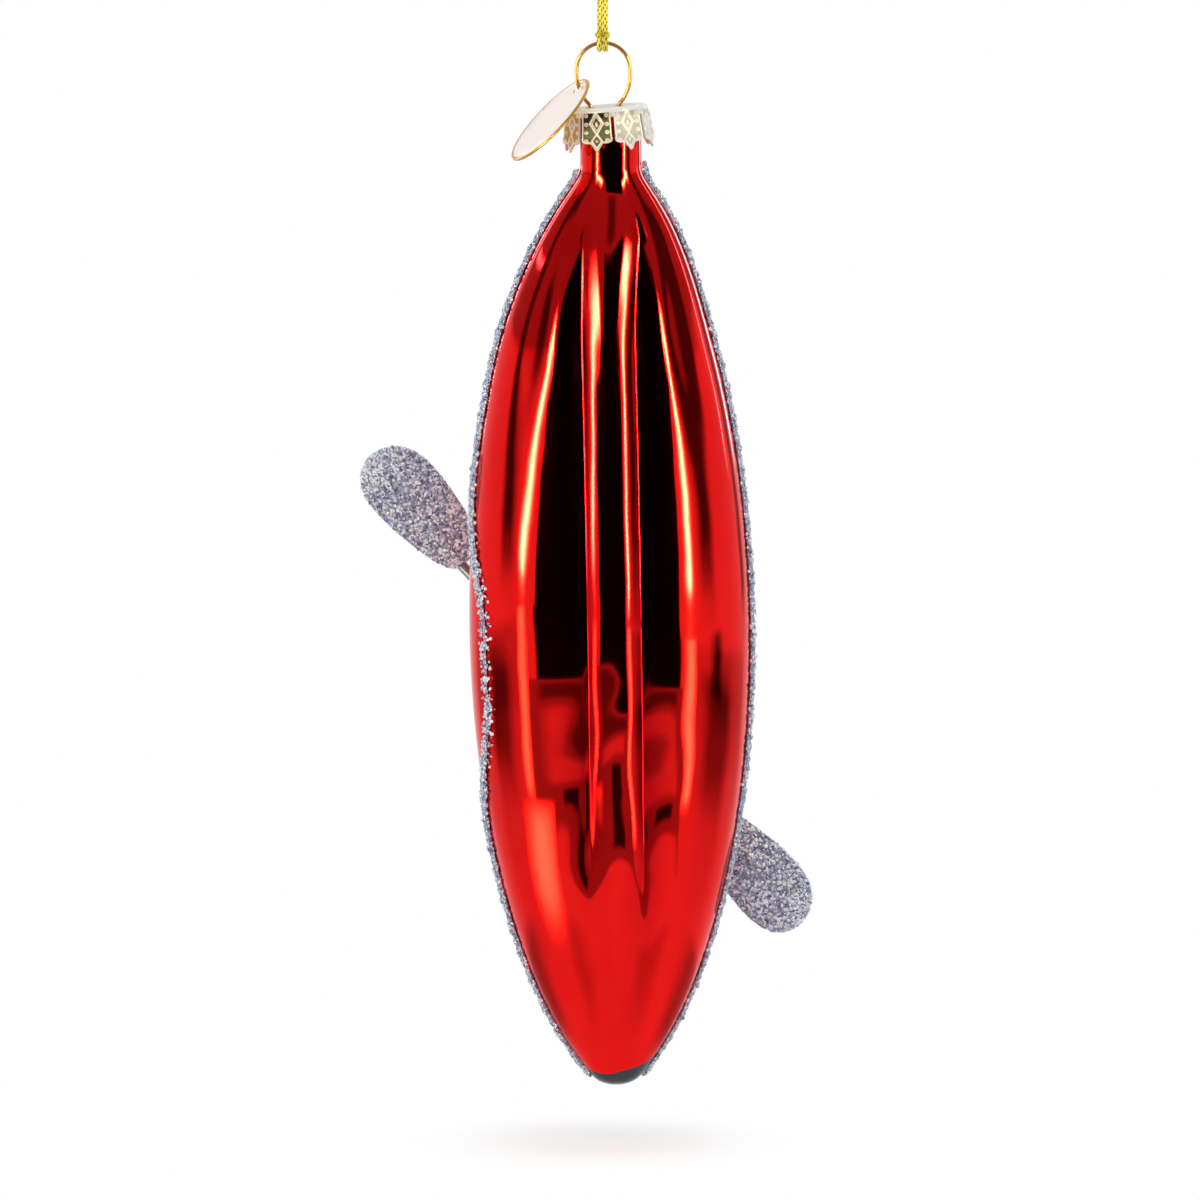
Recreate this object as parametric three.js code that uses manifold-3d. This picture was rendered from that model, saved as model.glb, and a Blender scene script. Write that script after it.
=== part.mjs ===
// A blown-glass kayak ornament: glass body, spring cap, hang tag, glued paddle and hanging cord.
// Millimetres, +Z up, the hull facing -Y. The origin is the point where the cord hangs on its hook.

import * as THREE from 'three';
import { mergeVertices } from 'three/addons/utils/BufferGeometryUtils.js';
import Module from 'manifold-3d';

const wasm = await Module();
wasm.setup();

const degrees = THREE.MathUtils.degToRad;

// Hang: everything under the cord swings about the top of the wire loop
const RING_TOP_Z = -24;
const HANG_PITCH = degrees(0.6);

// Cord
const CORD_DIAMETER = 0.75;
const CORD_SIDES = 8;
const CORD_STEPS = 76;
const KNOT_HEIGHT = 2.6;
const KNOT_RADIUS = 1.15;
const TAIL_LENGTH = 3.2;
const SEAT_GAP = 0.3;

// Wire loop, measured from the cap's top plate
const WIRE_DIAMETER = 0.55;
const WIRE_STEPS = 66;
const LOOP_RADIUS = 3.83;
const LOOP_CENTRE_Z = 5.2;
const LOOP_LEAN = degrees(1.8);
const LEG_LENGTH = 14;
const RIGHT_LEG_BOW = 1.25;
const LEFT_LEG_BOW = 0.15;

// Crown cap
const CAP_RADIUS = 5.9;
const CAP_SHEET = 0.35;
const CAP_EDGE_RADIUS = 0.55;
const CAP_BAND = 1.1;
const CAP_LEAN = degrees(4);
const CAP_TURN = degrees(6.6);
const CAP_SHIFT_X = 0.3;
const PETALS = 8;
const PETAL_SLIT = 0.5;
const PETAL_SIDE = 5.0;
const PETAL_POINT = 1.1;
const PETAL_FLARE = 0.75;
const PETAL_CORNER = 0.55;
const PETAL_LAP = 0.25;
const PETAL_FLATTENING = 0.18;
const LEG_HOLE_RADIUS = 0.62;
const LEG_HOLE_X = 2.0;

// Hang tag
const TAG_RADIUS = 7.8;
const TAG_THICKNESS = 0.4;
const TAG_HOLE_RADIUS = 1.05;
const TAG_HOLE_TO_CENTRE = 6.1;
const TAG_HOLE = new THREE.Vector3(-3.42, -0.06, -6.49);
const TAG_NORMAL = new THREE.Vector3(-0.70, -0.20, 0.68).normalize();

// Glass body, measured down from the rim of its neck
const RIM_BELOW_PLATE = 1.05;
const GLASS_LENGTH = 140.3;
const NECK_LENGTH = 7.4;
const NECK_RADIUS = 4.4;
const NECK_RIM_FLARE = 0.35;
const NECK_RIM_LENGTH = 1.2;
const NECK_BORE_RADIUS = 3.4;
const NECK_SHIFT = 1.2;
const HALF_BEAM = 20.2;
const HULL_DEPTH = 13;
const DECK_HEIGHT = 9;
const UPPER_TAPER = 0.57;
const LOWER_TAPER = 0.62;
const TIP_ROUNDING = 1.6;
const TIP_ROUND_LENGTH = 1.1;
const KEEL_HALF_WIDTH = 4.2;
const KEEL_VALLEY_DEPTH = 1.4;
const KEEL_VALLEY_REACH = 1.1;
const KEEL_VALLEY_FADE = { from: 96, left: 119, right: 126 };
const BILGE_SHARE = 0.69;
const BILGE_VALLEY_DEPTH = 0.35;
const BILGE_VALLEY_ANGLE = 8;
const DECK_LOBE_DEPTH = 0.45;
const DECK_CREASE = 38;
const WALL = 1.0;
const GLASS_LEAN = degrees(0.9);
const GLASS_SHIFT_X = -0.12;
const GLASS_YAW = degrees(3.2);
const BODY_STATIONS = 32;
const LAST_STATION = GLASS_LENGTH - 1.4;
const BORE_STATIONS = 22;
const BORE_SIDES = 20;

// Cockpit, an oval well with a rolled rim in the deck
const COCKPIT_DEPTH = 89.0;
const COCKPIT_HALF_LENGTH = 15;
const COCKPIT_HALF_WIDTH = 8.5;
const COAMING_RADIUS = 0.9;
const WELL_DEPTH = 3.2;

// Glitter trim on the two gunwales
const TRIM_GAP = 0.15;
const TRIM_THICKNESS = 0.55;
const TRIM_HALF_ANGLE = 7;
const TRIM_TIP_GAP = 1.3;
const LEFT_TRIM = { side: -1, start: 8, stray: 27, strayFrom: [50, 74], strayTo: [84, 106] };
const RIGHT_TRIM = { side: 1, start: 7, stray: 2, strayFrom: [46, 66], strayTo: [92, 108] };
const TRIM_NARROWING = 0.08;

// Paddle
const SHAFT_RADIUS = 0.78;
const SHAFT_SLOPE = degrees(49.5);
const SHAFT_HALF_LENGTH = 27.1;
const BLADE_LENGTH = 20.4;
const BLADE_THICKNESS = 1.3;
const BLADE_UPPER_EDGE = { width: 6.5, throat: 0.15 };
const BLADE_LOWER_EDGE = { width: 5.8, throat: 0.4 };
const BLADE_COCK = degrees(3.2);
const RIDGE_HALF_LENGTH = 9.5;
const RIDGE_ONTO_BLADE = 12;
const PADDLE_SEAT_Y = 9.95;
const PADDLE_PITCH = degrees(1.8);
const PADDLE_SLIDE = 5.7;
const GLUE_RADIUS = 1.7;
const GLUE_REACH = 10.7;

const FINISHES = {
  cord: { color: 0xd8c400, roughness: 0.55, metalness: 0.4 },
  wire: { color: 0xc98a2b, roughness: 0.2, metalness: 1 },
  cap: { color: 0xd9d0a8, roughness: 0.22, metalness: 1 },
  tag: { color: 0xf1e6e0, roughness: 0.18, metalness: 1 },
  glass: { color: 0xd2001a, roughness: 0.06, metalness: 0.85 },
  glitter: { color: 0x9fb0c8, roughness: 0.5, metalness: 0.8 },
  paddle: { color: 0x8a8f9c, roughness: 0.45, metalness: 0.5 },
  glue: { color: 0xe6e6e0, roughness: 0.25, metalness: 0 },
};

function piece(name, geometry, finish) {
  const mesh = new THREE.Mesh(geometry, new THREE.MeshStandardMaterial(FINISHES[finish]));
  mesh.name = name;
  return mesh;
}

// Solids and their booleans

function solidOf(geometry) {
  const bare = geometry.clone();
  bare.deleteAttribute('normal');
  bare.deleteAttribute('uv');
  const merged = mergeVertices(bare, 1e-4);
  const vertProperties = new Float32Array(merged.attributes.position.array);
  const triVerts = new Uint32Array(merged.index.array);
  return new wasm.Manifold(new wasm.Mesh({ numProp: 3, vertProperties, triVerts }));
}

function geometryOf(solid) {
  const mesh = solid.getMesh();
  const geometry = new THREE.BufferGeometry();
  geometry.setAttribute('position', new THREE.BufferAttribute(mesh.vertProperties, 3));
  geometry.setIndex(new THREE.BufferAttribute(mesh.triVerts, 1));
  return geometry;
}

// Turns every face over where the skin would enclose its volume inside out
function facingOut(points, faces) {
  let volume = 0;
  for (let i = 0; i < faces.length; i += 3) {
    const [a, b, c] = faces.slice(i, i + 3).map((index) => points[index]);
    volume += a.dot(new THREE.Vector3().crossVectors(b, c));
  }
  const geometry = new THREE.BufferGeometry().setFromPoints(points);
  geometry.setIndex(volume < 0 ? faces.slice().reverse() : faces);
  return geometry;
}

// A closed skin through rings of equal count, each ring running the same way. It has a fan on both
// ends, or where the rings go round a loop, its last ring meets its first.
function loft(rings, looped = false) {
  const count = rings[0].length;
  const points = rings.flat();
  const faces = [];
  const spans = looped ? rings.length : rings.length - 1;
  for (let r = 0; r < spans; r += 1) {
    const below = (r + 1) % rings.length;
    for (let i = 0; i < count; i += 1) {
      const next = (i + 1) % count;
      const a = r * count + i;
      const b = r * count + next;
      const c = below * count + next;
      const d = below * count + i;
      faces.push(a, b, c, a, c, d);
    }
  }
  const ends = looped ? [] : [[0, true], [rings.length - 1, false]];
  for (const [r, first] of ends) {
    const middle = new THREE.Vector3();
    rings[r].forEach((point) => middle.addScaledVector(point, 1 / count));
    const hub = points.push(middle) - 1;
    for (let i = 0; i < count; i += 1) {
      const a = r * count + i;
      const b = r * count + (i + 1) % count;
      faces.push(...(first ? [hub, b, a] : [hub, a, b]));
    }
  }
  return facingOut(points, faces);
}

function tube(points, radius, sides, steps) {
  const section = new THREE.Shape();
  for (let i = 0; i < sides; i += 1) {
    const turn = 2 * Math.PI * i / sides;
    const corner = [radius * Math.cos(turn), radius * Math.sin(turn)];
    if (i === 0) {
      section.moveTo(...corner);
    } else {
      section.lineTo(...corner);
    }
  }
  const extrudePath = new THREE.CatmullRomCurve3(points, false, 'centripetal');
  return new THREE.ExtrudeGeometry(section, { steps, extrudePath, bevelEnabled: false });
}

function smooth(from, to, value) {
  return THREE.MathUtils.smoothstep(value, from, to);
}

// Cord: one length, from the knot down, hitched round the wire loop and back up to the knot

function hitchHalf(side) {
  const wrap = 0.5 * WIRE_DIAMETER + 0.5 * CORD_DIAMETER + SEAT_GAP;
  const slant = wrap * Math.SQRT1_2;
  const strand = side * 0.45;
  return [
    new THREE.Vector3(side * 0.75, 0, 0.55),
    new THREE.Vector3(side * 1.75, 0, -0.5),
    new THREE.Vector3(side * 1.95, 0, -2.2),
    new THREE.Vector3(side * 1.2, 0, -5.2),
    new THREE.Vector3(strand, 0, -9),
    new THREE.Vector3(strand, 0.05, RING_TOP_Z + 8),
    new THREE.Vector3(strand, 0.25, RING_TOP_Z + 3),
    new THREE.Vector3(strand, 0.55, RING_TOP_Z + 1.4),
    new THREE.Vector3(side * 0.47, wrap, RING_TOP_Z),
    new THREE.Vector3(side * 0.52, slant, RING_TOP_Z - slant),
    new THREE.Vector3(side * 0.58, 0, RING_TOP_Z - wrap),
    new THREE.Vector3(side * 0.63, -slant, RING_TOP_Z - slant),
    new THREE.Vector3(side * 0.7, -wrap, RING_TOP_Z),
    new THREE.Vector3(side * 0.8, -slant, RING_TOP_Z + slant),
    new THREE.Vector3(side * 0.98, 0, RING_TOP_Z + wrap + 0.05),
    new THREE.Vector3(side * 1.2, 0.8, RING_TOP_Z + 1.15),
    new THREE.Vector3(side * 0.85, 1.45, RING_TOP_Z + 1.2),
  ];
}

function hangingCord() {
  const bar = new THREE.Vector3(0, 1.6, RING_TOP_Z + 1.2);
  const points = [...hitchHalf(-1), bar, ...hitchHalf(1).reverse()];
  return piece('hanging_cord', tube(points, CORD_DIAMETER / 2, CORD_SIDES, CORD_STEPS), 'cord');
}

// The overhand knot of the two ends: a bead with a waist, and two short tails
function cordKnot() {
  const bottom = 0.4 + SEAT_GAP;
  const profile = [new THREE.Vector2(0, bottom)];
  const rows = 10;
  for (let i = 1; i < rows; i += 1) {
    const t = i / rows;
    const bulge = Math.sqrt(Math.sin(Math.PI * t));
    const waist = 1 - 0.1 * Math.cos(4 * Math.PI * t);
    profile.push(new THREE.Vector2(KNOT_RADIUS * bulge * waist * 0.92, bottom + KNOT_HEIGHT * t));
  }
  profile.push(new THREE.Vector2(0, bottom + KNOT_HEIGHT));
  const bead = new THREE.LatheGeometry(profile, 14);
  bead.rotateX(Math.PI / 2);
  let solid = solidOf(bead);
  for (const side of [-1, 1]) {
    const tail = [
      new THREE.Vector3(side * 0.4, 0, bottom + KNOT_HEIGHT * 0.6),
      new THREE.Vector3(side * 0.55, 0, bottom + KNOT_HEIGHT),
      new THREE.Vector3(side * 1.0, 0, bottom + KNOT_HEIGHT + TAIL_LENGTH),
    ];
    solid = solid.add(solidOf(tube(tail, CORD_DIAMETER / 2, CORD_SIDES, 5)));
  }
  return piece('cord_knot', geometryOf(solid), 'cord');
}

// Wire loop: a round bow, drawn in to the two cap holes, with legs that spring apart in the neck

function wireLoop() {
  const drawIn = [[1, 0.865], [0.966, 0.644], [0.872, 0.413], [0.715, 0.192]];
  const right = drawIn.map(([x, z]) => [LOOP_RADIUS * x, LOOP_CENTRE_Z * z]);
  right.push([LEG_HOLE_X, 0]);
  const leg = (bow, shares) => shares.map(([out, down]) => [LEG_HOLE_X + bow * out, -LEG_LENGTH * down]);
  const rightLeg = leg(RIGHT_LEG_BOW, [
    [0.06, 0.054], [0.48, 0.15], [0.88, 0.286], [1, 0.464], [0.84, 0.714], [0.6, 1],
  ]);
  const leftLeg = leg(LEFT_LEG_BOW, [
    [-0.33, 0.054], [0, 0.157], [1, 0.286], [0.67, 0.464], [-0.67, 0.714], [-2, 1],
  ]).map(([x, z]) => [-x, z]);
  const bow = [];
  const bowPoints = 12;
  for (let i = 0; i <= bowPoints; i += 1) {
    const turn = Math.PI * i / bowPoints;
    bow.push([-LOOP_RADIUS * Math.cos(turn), LOOP_CENTRE_Z + LOOP_RADIUS * Math.sin(turn)]);
  }
  const left = right.map(([x, z]) => [-x, z]).reverse();
  const route = [...leftLeg.reverse(), ...left, ...bow, ...right, ...rightLeg];
  const points = route.map(([x, z]) => new THREE.Vector3(x, 0, z));
  return piece('wire_loop', tube(points, WIRE_DIAMETER / 2, 8, WIRE_STEPS), 'wire');
}

// Crown cap: a shallow drawn cup with a rolled edge, and petals that flare to an ogee point

function capCup() {
  const outer = [];
  const inner = [];
  const rows = 3;
  for (let i = 0; i <= rows; i += 1) {
    const turn = 0.5 * Math.PI * i / rows;
    const reach = CAP_EDGE_RADIUS * Math.sin(turn);
    const drop = CAP_EDGE_RADIUS * (1 - Math.cos(turn));
    const share = 1 - CAP_SHEET / CAP_EDGE_RADIUS;
    outer.push(new THREE.Vector2(CAP_RADIUS - CAP_EDGE_RADIUS + reach, -drop));
    inner.push(new THREE.Vector2(CAP_RADIUS - CAP_EDGE_RADIUS + reach * share, -CAP_SHEET - drop * share));
  }
  const profile = [
    new THREE.Vector2(0, 0), ...outer,
    new THREE.Vector2(CAP_RADIUS, -CAP_BAND), new THREE.Vector2(CAP_RADIUS - CAP_SHEET, -CAP_BAND),
    ...inner.reverse(), new THREE.Vector2(0, -CAP_SHEET),
  ];
  const cup = new THREE.LatheGeometry(profile.reverse(), 40);
  cup.rotateX(Math.PI / 2);
  return solidOf(cup);
}

function petalLength(across) {
  const corner = Math.pow(Math.abs(across), 10);
  const ogee = smooth(0.5, 0, Math.abs(across));
  return PETAL_SIDE - PETAL_CORNER * corner + PETAL_POINT * Math.pow(ogee, 1.3);
}

function petal(turn) {
  const columns = 10;
  const rows = 3;
  const start = CAP_BAND - PETAL_LAP;
  const halfAngle = Math.PI / PETALS - 0.5 * PETAL_SLIT / CAP_RADIUS;
  const rings = [];
  for (let c = 0; c <= columns; c += 1) {
    const across = 2 * c / columns - 1;
    const angle = turn + across * halfAngle;
    const ring = [];
    for (const [sheet, order] of [[0, 1], [CAP_SHEET, -1]]) {
      for (let r = 0; r <= rows; r += 1) {
        const t = order > 0 ? r / rows : 1 - r / rows;
        const drop = start + (petalLength(across) - start) * t;
        const flare = PETAL_FLARE * Math.pow(Math.max(0, drop - start) / PETAL_SIDE, 1.6);
        const flat = (CAP_RADIUS - PETAL_FLATTENING) / Math.cos(across * halfAngle);
        const round = smooth(start + 0.1 * PETAL_SIDE, start, drop);
        const radius = THREE.MathUtils.lerp(flat, CAP_RADIUS, round) - sheet + flare;
        ring.push(new THREE.Vector3(radius * Math.sin(angle), -radius * Math.cos(angle), -drop));
      }
    }
    rings.push(ring);
  }
  return solidOf(loft(rings));
}

function crownCap() {
  let solid = capCup();
  for (let i = 0; i < PETALS; i += 1) {
    solid = solid.add(petal(CAP_TURN + (i + 0.5) * 2 * Math.PI / PETALS));
  }
  for (const side of [-1, 1]) {
    const drill = new THREE.CylinderGeometry(LEG_HOLE_RADIUS, LEG_HOLE_RADIUS, 4 * CAP_SHEET, 14);
    drill.rotateX(Math.PI / 2);
    drill.translate(side * LEG_HOLE_X - CAP_SHIFT_X, 0, -CAP_SHEET / 2);
    solid = solid.subtract(solidOf(drill));
  }
  return piece('crown_cap', geometryOf(solid), 'cap');
}

// Hang tag: a blanked disc, threaded on the left of the wire loop and leaning on the cap's edge

function hangTag() {
  const disc = new THREE.Shape();
  disc.absarc(0, -TAG_HOLE_TO_CENTRE, TAG_RADIUS, 0, 2 * Math.PI);
  const hole = new THREE.Path();
  hole.absarc(0, 0, TAG_HOLE_RADIUS, 0, 2 * Math.PI, true);
  disc.holes.push(hole);
  const settings = { depth: TAG_THICKNESS, curveSegments: 20, bevelEnabled: false };
  const geometry = new THREE.ExtrudeGeometry(disc, settings);
  geometry.translate(0, 0, -TAG_THICKNESS / 2);
  const tag = piece('hang_tag', geometry, 'tag');
  const down = new THREE.Vector3(0, 0, -1).projectOnPlane(TAG_NORMAL).normalize();
  const up = down.clone().negate();
  const across = new THREE.Vector3().crossVectors(up, TAG_NORMAL);
  tag.quaternion.setFromRotationMatrix(new THREE.Matrix4().makeBasis(across, up, TAG_NORMAL));
  tag.position.copy(TAG_HOLE);
  return tag;
}

// Glass body. Depth runs down from the neck rim; the angle runs from the keel, 90 at a gunwale.

// The body's share of its full width: a long taper to the neck, and one to the tip, whose end is round
function fullness(depth) {
  const half = (GLASS_LENGTH - NECK_LENGTH) / 2;
  const above = depth - NECK_LENGTH;
  const below = GLASS_LENGTH - depth;
  if (above < half) {
    const along = 1 - above / half;
    return Math.pow(Math.max(0, 1 - along * along), UPPER_TAPER);
  }
  const rounded = below * (1 + TIP_ROUNDING * Math.exp(-below / TIP_ROUND_LENGTH));
  const along = 1 - rounded / half;
  return Math.pow(Math.max(0, 1 - along * along), LOWER_TAPER);
}

function neckRadius(depth) {
  const flare = NECK_RIM_FLARE * Math.exp(-Math.pow(depth / NECK_RIM_LENGTH, 2));
  return (NECK_RADIUS + flare) * (1 - smooth(14, 44, depth));
}

// Neck and body run into each other, whichever is larger leading
function joined(body, neck) {
  return Math.pow(Math.pow(body, 4) + Math.pow(neck, 4), 0.25);
}

// The keel lobe's half-width narrows with the body towards the neck and the tip
function keelAngle(share, beam) {
  const halfWidth = Math.min(KEEL_HALF_WIDTH, 0.42 * beam);
  return THREE.MathUtils.radToDeg(Math.asin(share * halfWidth / beam));
}

// Fall across a keel valley, 0 on the keel's crest, 1 at share 1 and 0 again past the valley's reach
function keelValley(share) {
  const crown = 0.34;
  const rise = (Math.hypot(share, crown) - crown) / (Math.hypot(1, crown) - crown);
  const crest = 0.75 * rise + 0.25 * Math.pow(share, 3);
  if (share < 0.4) {
    return crest;
  }
  const shoulder = Math.pow(Math.max(0, 1 - (share - 1) / KEEL_VALLEY_REACH), 2);
  return 0.5 * (crest + shoulder - Math.hypot(crest - shoulder, 0.1));
}

// How far the skin lies below the full round form: two deep valleys beside the keel, a slight one at
// each bilge near the neck, and a crease along each side of the deck
function lobeFall(depth, angle, beam) {
  const turn = Math.abs(angle);
  const puckers = smooth(6.5, 12, depth) * Math.min(1, beam / 9);
  if (turn > 90) {
    const across = (180 - turn) / DECK_CREASE;
    const rise = across < 1 ? 1 - across * across : Math.min(1, 2.4 * (across - 1));
    return DECK_LOBE_DEPTH * puckers * (1 - smooth(40, 66, depth)) * (1 - rise);
  }
  const share = Math.sin(degrees(turn)) / Math.sin(degrees(keelAngle(1, beam)));
  const last = angle > 0 ? KEEL_VALLEY_FADE.right : KEEL_VALLEY_FADE.left;
  const keelFall = KEEL_VALLEY_DEPTH * keelValley(share) * (1 - smooth(KEEL_VALLEY_FADE.from, last, depth));
  const bilge = THREE.MathUtils.radToDeg(Math.asin(BILGE_SHARE));
  const off = (turn - bilge) / BILGE_VALLEY_ANGLE;
  const bilgeFall = BILGE_VALLEY_DEPTH * Math.exp(-off * off) * (1 - smooth(24, 56, depth));
  return puckers * (keelFall + bilgeFall);
}

function glassPoint(depth, angle, outward) {
  const body = fullness(depth);
  const neck = neckRadius(depth);
  const beam = joined(HALF_BEAM * body, neck);
  const sideDepth = joined((Math.abs(angle) <= 90 ? HULL_DEPTH : DECK_HEIGHT) * body, neck);
  const turn = degrees(angle);
  const normal = new THREE.Vector2(Math.sin(turn) / beam, -Math.cos(turn) / sideDepth).normalize();
  const move = outward - lobeFall(depth, angle, beam);
  const shift = NECK_SHIFT * (1 - smooth(6, 34, depth));
  const x = shift + beam * Math.sin(turn) + move * normal.x;
  const y = -sideDepth * Math.cos(turn) + move * normal.y;
  return new THREE.Vector3(x, y, -depth);
}

function ringAngles(depth) {
  const beam = joined(HALF_BEAM * fullness(depth), neckRadius(depth));
  const half = [0.5, 1, 1.35, 1.8].map((share) => keelAngle(share, beam));
  const shoulder = half[half.length - 1];
  for (let i = 1; i <= 5; i += 1) {
    half.push(shoulder + (78 - shoulder) * i / 5);
  }
  half.push(84, 90, 96, 102, 112, 122, 132, 180 - DECK_CREASE, 153, 166);
  return [0, ...half, 180, ...half.slice().reverse().map((angle) => -angle)];
}

// Stations crowd together towards the neck and the tip, where the form turns fastest
function stationDepths(count, first, last) {
  const depths = [];
  for (let i = 0; i <= count; i += 1) {
    const t = i / count;
    const eased = 0.3 * t + 0.7 * (0.5 - 0.5 * Math.cos(Math.PI * t));
    depths.push(first + (last - first) * eased);
  }
  return depths;
}

function glassOuter() {
  const ends = [GLASS_LENGTH - 0.6, GLASS_LENGTH - 0.05];
  const depths = [0, 0.8, 2, 4.2, ...stationDepths(BODY_STATIONS, 6.4, LAST_STATION), ...ends];
  return solidOf(loft(depths.map((depth) => ringAngles(depth).map((angle) => glassPoint(depth, angle, 0)))));
}

function glassBore() {
  const depths = [-2, 5, ...stationDepths(BORE_STATIONS, 8, GLASS_LENGTH - 2.2)];
  const wallIn = WALL + 0.6 * KEEL_VALLEY_DEPTH;
  const rings = depths.map((depth) => {
    const ring = [];
    for (let i = 0; i < BORE_SIDES; i += 1) {
      const turn = 2 * Math.PI * i / BORE_SIDES;
      const body = fullness(depth);
      const neck = NECK_BORE_RADIUS * (1 - smooth(16, 40, depth));
      const beam = joined(Math.max(0.15, HALF_BEAM * body - wallIn), neck);
      const full = Math.cos(turn) > 0 ? HULL_DEPTH : DECK_HEIGHT;
      const sideDepth = joined(Math.max(0.15, full * body - wallIn), neck);
      const shift = NECK_SHIFT * (1 - smooth(6, 34, depth));
      ring.push(new THREE.Vector3(shift + beam * Math.sin(turn), -sideDepth * Math.cos(turn), -depth));
    }
    return ring;
  });
  return solidOf(loft(rings));
}

function deckY(x, depth) {
  const beam = HALF_BEAM * fullness(depth);
  return DECK_HEIGHT * fullness(depth) * Math.sqrt(Math.max(0, 1 - Math.pow(x / beam, 2)));
}

function coaming() {
  const rings = [];
  const count = 32;
  const sides = 8;
  for (let i = 0; i < count; i += 1) {
    const turn = 2 * Math.PI * i / count;
    const ring = [];
    for (let k = 0; k < sides; k += 1) {
      const roll = 2 * Math.PI * k / sides;
      const spread = COAMING_RADIUS * Math.cos(roll);
      const x = (COCKPIT_HALF_WIDTH + spread) * Math.sin(turn);
      const depth = COCKPIT_DEPTH + (COCKPIT_HALF_LENGTH + spread) * Math.cos(turn);
      const middle = deckY(COCKPIT_HALF_WIDTH * Math.sin(turn), depth);
      ring.push(new THREE.Vector3(x, middle + COAMING_RADIUS * Math.sin(roll), -depth));
    }
    rings.push(ring);
  }
  return solidOf(loft(rings, true));
}

function well(grow) {
  const bowl = new THREE.SphereGeometry(1, 22, 12);
  bowl.rotateY(degrees(7));
  const inset = COAMING_RADIUS + 0.25;
  const width = COCKPIT_HALF_WIDTH - inset + grow;
  const length = COCKPIT_HALF_LENGTH - inset + grow;
  bowl.scale(width, WELL_DEPTH + grow, length);
  bowl.translate(0, deckY(0, COCKPIT_DEPTH) - 0.2, -COCKPIT_DEPTH);
  return solidOf(bowl);
}

function glassBody(outer) {
  const bore = glassBore().subtract(well(WALL + 0.15));
  return piece('glass_body', geometryOf(outer.subtract(bore)), 'glass');
}

// Glitter trim: a low crust laid along each gunwale, on the left straying down onto the hull

function glitterTrim(name, trim) {
  const rings = [];
  for (const depth of stationDepths(BODY_STATIONS, 6.4, LAST_STATION)) {
    if (depth >= trim.start && depth <= GLASS_LENGTH - TRIM_TIP_GAP) {
      const stray = trim.stray * smooth(...trim.strayFrom, depth) * (1 - smooth(...trim.strayTo, depth));
      const halfAngle = TRIM_HALF_ANGLE - TRIM_NARROWING * stray;
      const offsets = [-1, -0.5, 0, 0.5, 1];
      const angles = offsets.map((t) => trim.side * (91 - stray + t * halfAngle));
      const under = angles.map((angle) => glassPoint(depth, angle, TRIM_GAP));
      const over = angles.map((angle, i) => {
        const height = TRIM_GAP + 0.12 + TRIM_THICKNESS * (1 - offsets[i] * offsets[i]);
        return glassPoint(depth, angle, height);
      });
      rings.push([...under, ...over.reverse()]);
    }
  }
  return piece(name, loft(rings), 'glitter');
}

// Paddle: a round shaft that runs out as a ridge along each drop-shaped blade

function bladeEdge(edge, t) {
  return edge.width * Math.pow(t, edge.throat) * Math.sqrt(Math.max(0, 1 - Math.pow(t, 6)));
}

function bladeSolid() {
  const outline = new THREE.Shape();
  const count = 12;
  outline.moveTo(0, 0);
  for (let i = 1; i <= count; i += 1) {
    const t = Math.sin(0.5 * Math.PI * i / count);
    outline.lineTo(BLADE_LENGTH * t, bladeEdge(BLADE_UPPER_EDGE, t));
  }
  for (let i = count - 1; i >= 1; i -= 1) {
    const t = Math.sin(0.5 * Math.PI * i / count);
    outline.lineTo(BLADE_LENGTH * t, -bladeEdge(BLADE_LOWER_EDGE, t));
  }
  const bevel = 0.3;
  const settings = {
    depth: BLADE_THICKNESS - 2 * bevel, bevelThickness: bevel, bevelSize: bevel, bevelOffset: -bevel,
    bevelSegments: 2, curveSegments: 8,
  };
  const plate = new THREE.ExtrudeGeometry(outline, settings);
  plate.translate(0, 0, bevel - BLADE_THICKNESS / 2);
  const ridge = new THREE.SphereGeometry(1, 16, 10);
  ridge.scale(RIDGE_HALF_LENGTH, SHAFT_RADIUS * 1.1, SHAFT_RADIUS * 1.35);
  ridge.translate(RIDGE_ONTO_BLADE - RIDGE_HALF_LENGTH, 0, 0);
  return solidOf(plate).add(solidOf(ridge));
}

function paddleSolid() {
  const rod = new THREE.CylinderGeometry(SHAFT_RADIUS, SHAFT_RADIUS, 2 * SHAFT_HALF_LENGTH, 14);
  rod.rotateZ(Math.PI / 2);
  let solid = solidOf(rod);
  for (const side of [-1, 1]) {
    const blade = geometryOf(bladeSolid());
    if (side < 0) {
      blade.rotateX(Math.PI);
      blade.rotateZ(Math.PI);
    }
    blade.rotateZ(side * BLADE_COCK);
    blade.translate(side * (SHAFT_HALF_LENGTH - 1.5), 0, 0);
    solid = solid.add(solidOf(blade));
  }
  return solid;
}

function paddlePlacement() {
  const lay = new THREE.Matrix4().makeRotationX(Math.PI / 2);
  const slope = new THREE.Matrix4().makeRotationY(SHAFT_SLOPE - GLASS_LEAN);
  const pitch = new THREE.Matrix4().makeRotationZ(-PADDLE_PITCH);
  const seat = new THREE.Matrix4().makeTranslation(0, PADDLE_SEAT_Y, -COCKPIT_DEPTH);
  return seat.multiply(slope).multiply(pitch).multiply(lay);
}

// The shaft crosses the cockpit off its own middle, with more of it on the upper left

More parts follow.
